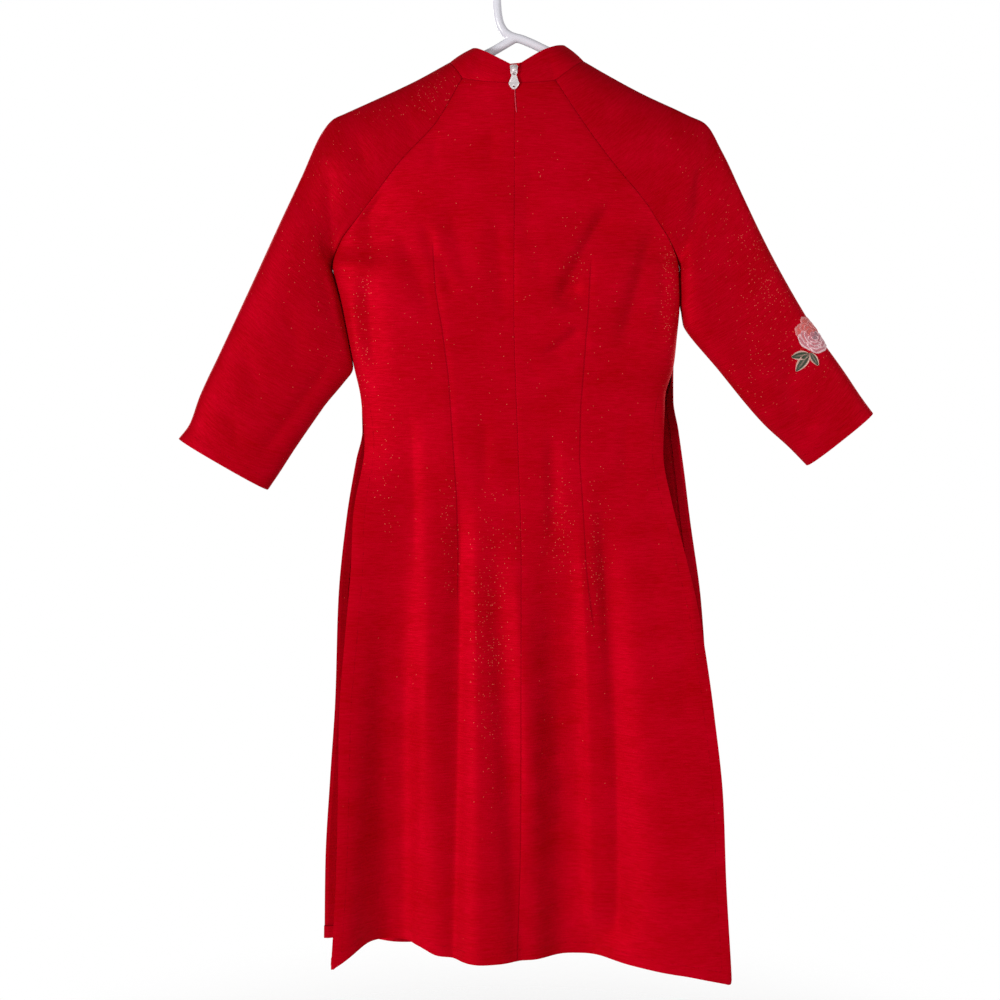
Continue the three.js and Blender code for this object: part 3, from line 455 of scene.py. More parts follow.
# %% Crease tables
CREASE_COLUMNS = "x1 z1 x2 z2 x3 z3 height left right fadeIn fadeOut"
CREASES = {
    "back": table(
        CREASE_COLUMNS,
        # long folds of the skirt, from the wearer's left to the right
        (188, -540, 204, -840, 215, -1150, 11.0, 14, 42, 0.16, 0.0),
        (192, -560, 204, -760, 212, -980, 8.0, 14, 84, 0.25, 0.4),
        (93, -560, 104, -860, 114, -1150, 7.0, 21, 18, 0.55, 0.0),
        (64, -560, 70, -860, 78, -1150, -9.5, 12, 17, 0.2, 0.0),
        (50, -600, 46, -860, 44, -1150, 3.0, 16, 16, 0.35, 0.0),
        (34, -600, 14, -860, -6, -1150, -5.5, 15, 15, 0.3, 0.0),
        (4, -620, -10, -860, -20, -1040, 5.5, 14, 18, 0.3, 0.3),
        (-70, -560, -84, -860, -92, -1150, 7.5, 17, 16, 0.3, 0.1),
        (-92, -570, -109, -860, -114, -1150, -9.0, 11, 19, 0.25, 0.1),
        (-192, -580, -226, -860, -244, -1170, 12.0, 60, 13, 0.3, 0.0),
        (-150, -590, -156, -700, -166, -860, -1.6, 12, 14, 0.35, 0.35),
        (-180, -620, -186, -760, -190, -940, -1.8, 12, 12, 0.3, 0.35),
        # the deep trough beside the centre breaks into short cross folds
        (-22, -668, -40, -676, -66, -672, -1.5, 5, 6, 0.4, 0.4),
        (-28, -716, -46, -728, -74, -722, 1.4, 6, 5, 0.4, 0.4),
        (-24, -764, -44, -772, -64, -768, -1.7, 5, 6, 0.4, 0.4),
        (-18, -812, -42, -822, -70, -818, 1.5, 6, 6, 0.4, 0.4),
        (-20, -852, -40, -866, -60, -862, -1.4, 5, 5, 0.4, 0.4),
        (-14, -904, -36, -912, -66, -906, -1.9, 6, 6, 0.4, 0.4),
        (-10, -938, -30, -946, -52, -944, 1.3, 5, 5, 0.4, 0.4),
        (-8, -986, -32, -998, -62, -992, -1.7, 6, 6, 0.4, 0.4),
        (-6, -1036, -28, -1048, -56, -1044, -1.5, 6, 6, 0.4, 0.4),
        (-10, -1084, -30, -1092, -52, -1090, 1.3, 5, 6, 0.4, 0.4),
        # seat and waist
        (40, -500, 37, -560, 40, -640, -2.0, 8, 10, 0.4, 0.4),
        (-36, -520, -40, -600, -40, -680, -4.4, 8, 12, 0.3, 0.3),
        (-30, -500, -20, -470, -4, -462, -1.3, 7, 8, 0.4, 0.4),
        (124, -500, 118, -600, 118, -740, -3.0, 24, 9, 0.35, 0.35),
        (-158, -470, -182, -650, -210, -880, 6.0, 66, 12, 0.3, 0.35),
        (-128, -500, -122, -560, -126, -640, -1.8, 10, 12, 0.4, 0.4),
        # bust and shoulder blades
        (27, -190, 30, -225, 33, -262, -1.4, 7, 9, 0.4, 0.4),
        (88, -205, 92, -225, 94, -250, -1.1, 6, 8, 0.4, 0.4),
        (80, -278, 66, -332, 56, -380, -4.6, 12, 26, 0.3, 0.3),
        (106, -300, 98, -328, 92, -352, -2.4, 7, 10, 0.35, 0.3),
        (136, -300, 111, -366, 92, -410, -3.8, 11, 26, 0.3, 0.35),
        (90, -330, 80, -360, 72, -392, -2.6, 7, 10, 0.35, 0.35),
        (24, -286, 21, -356, 14, -424, -4.6, 11, 20, 0.3, 0.3),
        (-10, -256, -9, -300, -13, -346, -4.0, 12, 20, 0.3, 0.3),
        (-11, -230, -14, -254, -17, -274, -1.2, 6, 7, 0.4, 0.4),
        (-110, -276, -76, -335, -42, -402, -8.6, 11, 24, 0.3, 0.2),
        (-64, -366, -58, -386, -32, -406, -4.0, 10, 10, 0.3, 0.4),
        (-72, -416, -50, -438, -22, -456, -4.8, 6, 16, 0.25, 0.35),
        (-22, -336, -23, -356, -23, -378, -1.4, 6, 7, 0.4, 0.4),
        (-158, -292, -136, -378, -112, -466, -8.0, 15, 24, 0.3, 0.3),
        (-168, -322, -165, -386, -156, -452, -3.4, 10, 10, 0.25, 0.3),
        (168, -262, 164, -316, 158, -372, -4.4, 14, 30, 0.3, 0.3),
        (170, -352, 166, -412, 160, -486, -3.4, 11, 13, 0.25, 0.3),
        (186, -368, 184, -420, 178, -470, 2.0, 8, 8, 0.3, 0.4),
    ),
    "front": table(
        CREASE_COLUMNS,
        (196, -640, 204, -860, 214, -1146, 3.0, 14, 16, 0.3, 0.0),
        (86, -600, 88, -820, 96, -1146, -3.6, 13, 14, 0.35, 0.0),
        (64, -600, 66, -800, 70, -1146, 3.0, 13, 12, 0.35, 0.0),
        (10, -580, 4, -800, -2, -1140, 3.4, 13, 14, 0.35, 0.0),
        (22, -640, 24, -860, 26, -1140, -3.2, 12, 12, 0.35, 0.0),
        (-82, -600, -86, -840, -90, -1140, 3.2, 13, 12, 0.35, 0.0),
        (-104, -600, -110, -820, -114, -1140, -3.6, 12, 14, 0.35, 0.0),
        (-172, -640, -186, -900, -196, -1150, -2.6, 13, 13, 0.35, 0.0),
        (-204, -680, -216, -900, -226, -1150, 2.2, 12, 12, 0.35, 0.0),
        (-172, -496, -188, -640, -208, -800, -13.0, 34, 32, 0.5, 0.35),
        (-30, -700, -46, -708, -62, -704, -1.5, 5, 6, 0.4, 0.4),
        (-28, -786, -44, -796, -66, -792, 1.4, 6, 6, 0.4, 0.4),
        (-26, -872, -42, -884, -62, -880, -1.6, 6, 6, 0.4, 0.4),
        (100, -760, 116, -770, 140, -764, -1.4, 6, 6, 0.4, 0.4),
        (104, -846, 122, -858, 142, -852, 1.3, 6, 6, 0.4, 0.4),
        # bust, from the underarm to the bust point, and the folds under it
        (160, -322, 128, -352, 96, -362, -2.6, 9, 10, 0.3, 0.4),
        (150, -352, 122, -380, 100, -392, -1.9, 7, 9, 0.3, 0.4),
        (-142, -322, -118, -350, -92, -362, -2.8, 9, 10, 0.3, 0.4),
        (-134, -356, -112, -384, -94, -398, -1.8, 8, 8, 0.3, 0.4),
        (44, -280, 34, -330, 26, -380, -1.6, 8, 10, 0.4, 0.4),
        (-30, -290, -28, -340, -24, -396, -1.8, 9, 9, 0.4, 0.4),
        (4, -256, 2, -300, 4, -350, -1.3, 8, 8, 0.4, 0.4),
        (176, -360, 172, -416, 166, -480, -3.0, 11, 12, 0.25, 0.3),
        (-162, -352, -164, -410, -158, -470, -3.0, 10, 10, 0.25, 0.3),
        (132, -480, 126, -560, 130, -660, -2.2, 12, 13, 0.4, 0.3),
        (-110, -490, -104, -570, -108, -660, -2.0, 12, 12, 0.4, 0.3),
        (34, -470, 28, -520, 30, -600, -1.8, 8, 10, 0.4, 0.4),
        (-44, -480, -42, -540, -44, -620, -2.2, 9, 10, 0.4, 0.4),
    ),
    "sleeve_left_back": table(
        CREASE_COLUMNS,
        (214, -228, 209, -290, 207, -360, -3.6, 10, 12, 0.3, 0.35),
        (234, -244, 240, -270, 246, -300, -1.6, 8, 8, 0.4, 0.4),
        (222, -340, 210, -392, 198, -446, -3.4, 11, 10, 0.3, 0.4),
        (204, -450, 250, -512, 300, -574, -2.6, 9, 7, 0.2, 0.25),
        (262, -380, 250, -430, 246, -470, -1.2, 12, 12, 0.4, 0.4),
        (316, -430, 300, -470, 296, -510, -1.2, 12, 12, 0.4, 0.4),
        (336, -508, 322, -530, 316, -560, -0.9, 9, 9, 0.4, 0.4),
        (180, -206, 172, -230, 168, -256, -1.3, 8, 9, 0.4, 0.4),
        (128, -176, 122, -196, 122, -216, -0.9, 8, 8, 0.4, 0.4),
    ),
    "sleeve_right_back": table(
        CREASE_COLUMNS,
        (-203, -226, -200, -290, -197, -356, -2.6, 7, 9, 0.3, 0.3),
        (-213, -270, -215, -345, -238, -452, -3.6, 9, 13, 0.25, 0.3),
        (-246, -232, -240, -364, -286, -494, -5.5, 14, 24, 0.25, 0.3),
        (-346, -498, -334, -526, -322, -556, -1.6, 8, 8, 0.35, 0.35),
        (-300, -436, -312, -498, -330, -560, -7.0, 14, 20, 0.35, 0.3),
        (-262, -330, -280, -380, -310, -430, -1.3, 12, 12, 0.4, 0.4),
        (-246, -440, -270, -480, -300, -530, -1.8, 8, 9, 0.3, 0.35),
        (-160, -200, -164, -230, -168, -262, -1.2, 8, 8, 0.4, 0.4),
        (-106, -176, -104, -196, -106, -216, -0.9, 8, 8, 0.4, 0.4),
    ),
    "sleeve_left_front": table(
        CREASE_COLUMNS,
        (212, -232, 206, -290, 204, -356, -3.2, 10, 12, 0.3, 0.35),
        (226, -330, 214, -390, 204, -440, -3.0, 11, 10, 0.3, 0.4),
        (210, -456, 256, -516, 302, -570, -2.2, 9, 8, 0.2, 0.3),
        (290, -410, 280, -450, 280, -490, -1.4, 12, 12, 0.4, 0.4),
        (176, -214, 168, -236, 164, -262, -1.2, 8, 9, 0.4, 0.4),
    ),
    "sleeve_right_front": table(
        CREASE_COLUMNS,
        (-206, -226, -202, -290, -200, -350, -3.4, 8, 10, 0.3, 0.3),
        (-222, -290, -228, -350, -246, -430, -3.4, 10, 12, 0.3, 0.3),
        (-250, -450, -276, -490, -306, -536, -2.0, 8, 9, 0.3, 0.35),
        (-300, -380, -318, -430, -346, -470, -1.4, 12, 12, 0.4, 0.4),
        (-156, -208, -160, -236, -164, -262, -1.2, 8, 8, 0.4, 0.4),
    ),
}
print("creases:", sum(len(rows["height"]) for rows in CREASES.values()))

# %% Distances to a drawn line
LINE_PARTS = 8


def bowed_line(x1, z1, x2, z2, x3, z3):
    """Points of the smooth line through three points, the second of them half way."""
    t = np.linspace(0, 1, LINE_PARTS + 1)
    a, b, c = (1 - t) * (1 - 2 * t), 4 * t * (1 - t), t * (2 * t - 1)
    return a * x1 + b * x2 + c * x3, a * z1 + b * z2 + c * z3


def to_line(x, z, line_x, line_z):
    """Signed distance from points to a line (positive on the wearer's left) and the share along it."""
    best = np.full(x.shape, 1e9)
    signed, along = np.zeros(x.shape), np.zeros(x.shape)
    parts = len(line_x) - 1
    for k in range(parts):
        run_x, run_z = line_x[k + 1] - line_x[k], line_z[k + 1] - line_z[k]
        off_x, off_z = x - line_x[k], z - line_z[k]
        t = np.clip((off_x * run_x + off_z * run_z) / (run_x**2 + run_z**2), 0, 1)
        away = np.hypot(off_x - t * run_x, off_z - t * run_z)
        side = np.where(off_x * run_z - off_z * run_x < 0, 1.0, -1.0)
        nearer = away < best
        best = np.where(nearer, away, best)
        signed = np.where(nearer, away * side, signed)
        along = np.where(nearer, (k + t) / parts, along)
    return signed, along


def crease_height(name, x, z):
    """Height that the creases of one table add to the cloth."""
    rows = CREASES[name]
    total = np.zeros(x.shape)
    for k in range(len(rows["height"])):
        row = {column: values[k] for column, values in rows.items()}
        line = bowed_line(row["x1"], row["z1"], row["x2"], row["z2"], row["x3"], row["z3"])
        signed, along = to_line(x, z, *line)
        width = np.where(signed > 0, row["left"], row["right"])
        bell = np.exp(-(np.abs(signed / width) ** 1.7))
        fade = smooth(0, row["fadeIn"] + 1e-6, along) * (1 - smooth(1 - row["fadeOut"] - 1e-6, 1, along))
        if row["fadeOut"] == 0:
            fade = smooth(0, row["fadeIn"] + 1e-6, along)
        total += row["height"] * bell * fade
    return total


bulge_x = bowed_line(0, 0, 1, -5, 0, -10)[0]
print("a bowed line bulges by", round(float(bulge_x.max()), 2))

# %% [markdown]
# ## Darts and seams
# A dart is a fold of cloth that is sewn shut on the inside. Outside it shows as one fine line with a shallow
# dip to each side. Such a line is thinner than the mesh, so the mesh holds the soft dip, and the vertices keep
# two attributes from which the silk paints the line itself, as painted shade of a darker red: the distance to
# the nearest dart, negative on one side of it so that it passes through zero between two vertices, and how much
# of the line is drawn there.

# %% Dart lines and the zones that glitter
DARTS = {
    "back": [
        ((95, -316), (91, -380), (84, -420), (77, -475), (73, -540), (69, -604), (68, -670), (69, -740)),
        ((-82, -340), (-79, -396), (-75, -452), (-71, -508), (-70, -566), (-74, -620), (-79, -690), (-90, -770)),
    ],
    "front": [
        ((88, -372), (86, -430), (80, -490), (80, -560), (86, -632)),
        ((-82, -372), (-80, -430), (-74, -490), (-74, -560), (-80, -632)),
        ((176, -398), (142, -380), (104, -368)),
        ((-160, -398), (-130, -380), (-98, -368)),
    ],
}
ZONE_COLUMNS = "x z reachX reachZ strength"
# Zones where the cloth glints: the gold flecks are drawn densest here, as painted glints.
GLITTER = {
    "back": table(
        ZONE_COLUMNS,
        (172, -400, 9, 80, 0.9),
        (-62, -350, 12, 40, 0.7),
        (-172, -370, 10, 90, 1.0),
        (32, -760, 16, 130, 1.0),
        (76, -650, 7, 60, 0.8),
        (-48, -640, 16, 60, 0.8),
        (-90, -680, 12, 70, 0.9),
        (148, -590, 12, 60, 0.5),
        (-2, -640, 8, 40, 0.4),
        (0, -450, 200, 320, 0.045),
    ),
    "front": table(ZONE_COLUMNS, (0, -600, 220, 480, 0.12), (60, -800, 20, 200, 0.7), (-120, -700, 20, 160, 0.7)),
    "sleeve_left": table(
        ZONE_COLUMNS, (90, -160, 26, 18, 0.8), (150, -180, 70, 10, 0.4), (220, -320, 60, 160, 0.1)
    ),
    "sleeve_right": table(
        ZONE_COLUMNS, (-282, -350, 30, 80, 1.0), (-330, -430, 50, 40, 0.7), (-270, -470, 20, 40, 0.6),
        (-240, -300, 60, 120, 0.2),
    ),
}


def glitter_zone(name, x, z):
    rows = GLITTER[name]
    total = np.zeros(x.shape)
    for k in range(len(rows["x"])):
        reach = ((x - rows["x"][k]) / rows["reachX"][k]) ** 2 + ((z - rows["z"][k]) / rows["reachZ"][k]) ** 2
        total = np.maximum(total, rows["strength"][k] * np.exp(-reach))
    return total


def dart_lines(name, x, z):
    """Distance to the nearest dart, the same with its side as the sign, and how much of its line is drawn."""
    nearest, sided, drawn = np.full(x.shape, 50.0), np.full(x.shape, 50.0), np.zeros(x.shape)
    for points in DARTS.get(name, []):
        line_x, line_z = np.array(points, float).T
        signed, along = to_line(x, z, line_x, line_z)
        within = smooth(0.0, 0.06, along) * (1 - smooth(0.94, 1.0, along))
        distance = np.abs(signed) + 3.0 * (1 - within)
        nearer = distance < nearest
        nearest = np.where(nearer, distance, nearest)
        sided = np.where(nearer, signed, sided)
        drawn = np.where(nearer, within * (1 - smooth(6.0, 9.0, distance)), drawn)
    return nearest, sided, drawn


print("darts:", {name: len(lines) for name, lines in DARTS.items()})

# %% [markdown]
# ## Edges of a panel
# A sewn edge turns in and runs back along the seam, which is what makes a seam a small groove. A free edge
# is folded under and stitched down, so it is thicker and its edge is round. Both are made by adding rows to
# the grid: the same points again, moved in behind the cloth.

# %% Grids that carry their normals, weave and edges
SHELL = 0.7  # thickness of the silk
TURN_DEPTH = 1.6  # from the face to the turned layer behind it
SEAM_DIP = 0.45
SEAM_DIP_REACH = 2.8
HEM_WIDTH = {"skirt": 16.0, "slit": 10.0, "cuff": 15.0}
# channels of a grid: place 0-2, normal 3-5, weave 6-7, and then one each
PLACE, NORMAL, WEAVE = slice(0, 3), slice(3, 6), slice(6, 8)
SEAM_LINE, HEM_LINE, SPARKLE, DART_LINE, DART_DRAWN = 8, 9, 10, 11, 12
CHANNELS = 13


def grid_normals(points, towards):
    """Unit normals of a grid, on the side that faces `towards` near its middle."""
    down = np.gradient(points, axis=0)
    across = np.gradient(points, axis=1)
    normals = np.cross(down, across)
    normals /= np.linalg.norm(normals, axis=2, keepdims=True) + 1e-12
    middle = normals[len(points) // 2, points.shape[1] // 3]
    return normals if middle @ np.array(towards, float) > 0 else -normals


def run_from(points, axis, from_end):
    """Length along the grid from its first or last row or column."""
    step = np.linalg.norm(np.diff(points, axis=axis), axis=2)
    zero = np.zeros_like(np.take(step, [0], axis=axis))
    run = np.concatenate([zero, np.cumsum(step, axis=axis)], axis=axis)
    return np.take(run, [-1], axis=axis) - run if from_end else run


def add_edge(grid, hemmed, width):
    """Adds an edge after the last row: sewn where hemmed is 0, and turned under where it is 1."""
    place, normal = grid[..., PLACE], grid[..., NORMAL]
    spacing = np.linalg.norm(place[-1] - place[-2], axis=1).mean()
    back = max(2, round(width / spacing))
    sources = [-1, -2, -1 - back // 2, -1 - back]
    depths = [0.8, TURN_DEPTH, TURN_DEPTH, TURN_DEPTH]
    sewn_depths = [0.5, 1.0, 1.4, 1.7]
    laps = [0, 0.1, 1.2, 2.2]  # the seam's allowance reaches behind the next piece, so no light comes through
    onward = place[-1] - place[-2]
    onward /= np.linalg.norm(onward, axis=1, keepdims=True)
    rows = []
    for source, depth, sewn, lap in zip(sources, depths, sewn_depths, laps):
        row = grid[source].copy()
        turned = place[source] - normal[source] * depth
        flange = place[-1] - normal[-1] * sewn + onward * lap
        row[:, PLACE] = mix(flange, turned, hemmed[:, None])
        rows.append(row[None])
    return np.concatenate([grid, *rows])


def add_edges(grid, edges):
    """Adds the named edges: each is (side, hemmed shares or one share, width)."""
    for side, hemmed, width in edges:
        if side in ("start", "end"):
            turned = grid if side == "end" else grid[::-1]
            shares = np.broadcast_to(np.asarray(hemmed, float), (grid.shape[1],))
            turned = add_edge(turned, shares, width)
            grid = turned if side == "end" else turned[::-1]
        else:
            turned = grid.swapaxes(0, 1)
            turned = turned if side == "last" else turned[::-1]
            shares = np.asarray(hemmed, float)
            shares = np.full(turned.shape[1], float(shares)) if shares.ndim == 0 else shares
            turned = add_edge(turned, shares, width)
            turned = turned if side == "last" else turned[::-1]
            grid = turned.swapaxes(0, 1)
    return grid


def cloth_mesh(name, grid, material, towards, shell=SHELL):
    """A thin closed shell from a grid, with its weave map and its attributes."""
    rows, columns = grid.shape[:2]
    index = np.arange(rows * columns).reshape(rows, columns)
    corners = [index[:-1, :-1], index[1:, :-1], index[1:, 1:], index[:-1, 1:]]
    place = grid[..., PLACE]
    middle_row, middle_column = rows // 2, columns // 3
    down = place[middle_row + 1, middle_column] - place[middle_row, middle_column]
    across = place[middle_row, middle_column + 1] - place[middle_row, middle_column]
    if np.cross(down, across) @ np.array(towards, float) < 0:
        corners.reverse()
    faces = np.stack(corners, axis=-1).reshape(-1, 4)
    mesh = bpy.data.meshes.new(name)
    mesh.from_pydata((place.reshape(-1, 3) * MM).tolist(), [], faces.tolist())
    flat = grid.reshape(-1, grid.shape[2])
    weave = mesh.uv_layers.new(name="weave")
    loops = np.empty(len(mesh.loops), np.int32)
    mesh.loops.foreach_get("vertex_index", loops)
    weave.data.foreach_set("uv", (flat[loops, WEAVE] * MM).astype(np.float32).ravel())
    channels = {"seam": SEAM_LINE, "hem": HEM_LINE, "glitter": SPARKLE, "dart": DART_LINE, "dart_drawn": DART_DRAWN}
    for label, channel in channels.items():
        values = mesh.attributes.new(label, "FLOAT", "POINT")
        values.data.foreach_set("value", flat[:, channel].astype(np.float32))
    made = bpy.data.objects.new(name, mesh)
    scene.collection.objects.link(made)
    mesh.materials.append(material)
    finish_shell(made, shell)
    return made


def finish_shell(piece, shell):
    """Gives a sheet its thickness, inwards, and smooth shading with a crisp rim."""
    bpy.ops.object.select_all(action="DESELECT")
    piece.select_set(True)
    bpy.context.view_layer.objects.active = piece
    solid = piece.modifiers.new("thickness", "SOLIDIFY")
    solid.thickness = shell * MM
    solid.offset = -1
    bpy.ops.object.modifier_apply(modifier=solid.name)
    bpy.ops.object.shade_smooth_by_angle(angle=math.radians(60))


print("silk is", SHELL, "mm thick")

# %% [markdown]
# ## What silk shantung looks like
# Shantung is woven from uneven silk: thick places in the weft lie across the cloth as short fine ribs, called
# slubs. This one also has a few flecks of metallic thread, painted as gold dots in the base colour and gathered
# in the zones where the cloth glints, so they are partly painted glints. Both effects are used by several
# materials, so each is a node group that reads the weave map, where one unit is a metre of cloth.

# %% Node groups for the weave, the flecks and stitched thread


def new_group(name, inputs, outputs):
    """A shader node group with its sockets; returns the tree, its input node and its output node."""
    tree = bpy.data.node_groups.new(name, "ShaderNodeTree")
    for label, kind in inputs:
        tree.interface.new_socket(label, in_out="INPUT", socket_type=kind)
    for label, kind in outputs:
        tree.interface.new_socket(label, in_out="OUTPUT", socket_type=kind)
    return tree, tree.nodes.new("NodeGroupInput"), tree.nodes.new("NodeGroupOutput")


def stretched_noise(tree, vector, scale, detail=2.0):
    """Noise over the weave map, with its own scale across and along, in ribs per metre."""
    mapping = node(tree.nodes, "ShaderNodeMapping", inputs={"Scale": (*scale, 1)})
    noise = node(tree.nodes, "ShaderNodeTexNoise", inputs={"Scale": 1.0, "Detail": detail, "Roughness": 0.55})
    tree.links.new(vector, mapping.inputs["Vector"])
    tree.links.new(mapping.outputs[0], noise.inputs["Vector"])
    return noise.outputs["Fac"]


def maths(tree, operation, a, b=None, clamp=False):
    """One Math node over sockets or numbers."""
    made = node(tree.nodes, "ShaderNodeMath", operation=operation, use_clamp=clamp)
    for socket, value in zip(made.inputs, (a, b)):
        if isinstance(value, (int, float)):
            socket.default_value = value
        elif value is not None:
            tree.links.new(value, socket)
    return made.outputs[0]


def ranged(tree, value, low, high, to_low=0.0, to_high=1.0):
    made = node(tree.nodes, "ShaderNodeMapRange",
                inputs={"From Min": low, "From Max": high, "To Min": to_low, "To Max": to_high})
    tree.links.new(value, made.inputs["Value"])
    return made.outputs["Result"]


def blended(tree, factor, a, b):
    """A colour mix; a and b are colours or sockets."""
    made = node(tree.nodes, "ShaderNodeMix", data_type="RGBA")
    for socket, value in zip((made.inputs["Factor"], made.inputs[6], made.inputs[7]), (factor, a, b)):
        if isinstance(value, tuple):
            socket.default_value = value
        else:
            tree.links.new(value, socket)
    return made.outputs[2]


def slub_weave_group():
    tree, start, end = new_group(
        "slub_weave",
        [("Vector", "NodeSocketVector")],
        [("Slub", "NodeSocketFloat"), ("Shade", "NodeSocketFloat"), ("Height", "NodeSocketFloat")],
    )
    vector = start.outputs["Vector"]
    long_ribs = stretched_noise(tree, vector, (45, 560))
    short_ribs = stretched_noise(tree, vector, (120, 900), 3.0)
    warp = stretched_noise(tree, vector, (1100, 40))
    grain = stretched_noise(tree, vector, (2300, 2300))
    cloud = stretched_noise(tree, vector, (14, 22), 3.0)
    ribs = maths(tree, "ADD", maths(tree, "MULTIPLY", long_ribs, 0.5), maths(tree, "MULTIPLY", short_ribs, 0.5))
    slub = ranged(tree, ribs, 0.40, 0.62)
    height = maths(tree, "ADD", maths(tree, "MULTIPLY", slub, 0.6), maths(tree, "MULTIPLY", grain, 0.4))
    height = maths(tree, "ADD", height, maths(tree, "MULTIPLY", warp, 0.2))
    tree.links.new(slub, end.inputs["Slub"])
    tree.links.new(cloud, end.inputs["Shade"])
    tree.links.new(height, end.inputs["Height"])
    return tree


def fleck_and_glint_group():
    tree, start, end = new_group(
        "metallic_flecks_and_painted_glints",
        [("Vector", "NodeSocketVector"), ("Zone", "NodeSocketFloat")],
        [("Mask", "NodeSocketFloat")],
    )
    cells = node(tree.nodes, "ShaderNodeTexVoronoi", voronoi_dimensions="2D", inputs={"Scale": 640.0})
    tree.links.new(start.outputs["Vector"], cells.inputs["Vector"])
    chance = node(tree.nodes, "ShaderNodeSeparateColor")
    tree.links.new(cells.outputs["Color"], chance.inputs[0])
    rare = maths(tree, "SUBTRACT", 1.0, maths(tree, "MULTIPLY", start.outputs["Zone"], 0.13))
    lit = maths(tree, "GREATER_THAN", chance.outputs[0], rare)
    dot = ranged(tree, cells.outputs["Distance"], 0.12, 0.34, 0.8, 0.0)
    bright = maths(tree, "MULTIPLY", maths(tree, "MULTIPLY", lit, dot), chance.outputs[1])
    tree.links.new(bright, end.inputs["Mask"])
    return tree


def stitch_group():
    """Rows of laid thread, as in satin stitch: the threads run along the map's second direction."""
    tree, start, end = new_group(
        "satin_stitch",
        [("Vector", "NodeSocketVector")],
        [("Thread", "NodeSocketFloat"), ("Shade", "NodeSocketFloat")],
    )
    vector = start.outputs["Vector"]
    threads = node(tree.nodes, "ShaderNodeTexWave", wave_type="BANDS", bands_direction="X",
                   inputs={"Scale": 1.0, "Distortion": 0.6, "Detail": 1.0, "Detail Scale": 2.0})
    mapping = node(tree.nodes, "ShaderNodeMapping", inputs={"Scale": (430, 60, 1)})
    tree.links.new(vector, mapping.inputs["Vector"])
    tree.links.new(mapping.outputs[0], threads.inputs["Vector"])
    tree.links.new(threads.outputs["Fac"], end.inputs["Thread"])
    tree.links.new(stretched_noise(tree, vector, (900, 90)), end.inputs["Shade"])
    return tree


SLUB_WEAVE, FLECKS_AND_GLINTS, SATIN_STITCH = slub_weave_group(), fleck_and_glint_group(), stitch_group()
print("groups:", SLUB_WEAVE.name, FLECKS_AND_GLINTS.name, SATIN_STITCH.name)

# %% The silk
SILK_BRIGHT = (0.60, 0.0, 0.0135, 1)
SILK_DARK = (0.43, 0.0, 0.002, 1)
# Painted shade: seam grooves, dart lines and the pricks of the hem stitches are darkened towards this deeper red,
# which stands in for the shade that falls in them.
PAINTED_GROOVE_SHADE = (0.26, 0.0, 0.004, 1)
FLECK_GOLD_AND_GLINT = (1.0, 0.28, 0.17, 1)
STITCH_LINE = 13.0  # from a turned edge to the row of stitches
STITCH_REACH = 0.9
SEAM_SPAN = (0.1, 0.9)  # a line is full up to the first distance, and gone at the second
DART_SPAN = (0.3, 1.3)
SEAM_STRENGTH, DART_STRENGTH, STITCH_STRENGTH = 0.46, 0.6, 0.45
GROOVE_HEIGHT, STITCH_HEIGHT, RIPPLE_HEIGHT = -1.5, -1.0, 2.0


def placed_group(tree, group):
    made = tree.nodes.new("ShaderNodeGroup")
    made.node_tree = group
    return made


def attribute(tree, name):
    return node(tree.nodes, "ShaderNodeAttribute", attribute_name=name).outputs["Fac"]


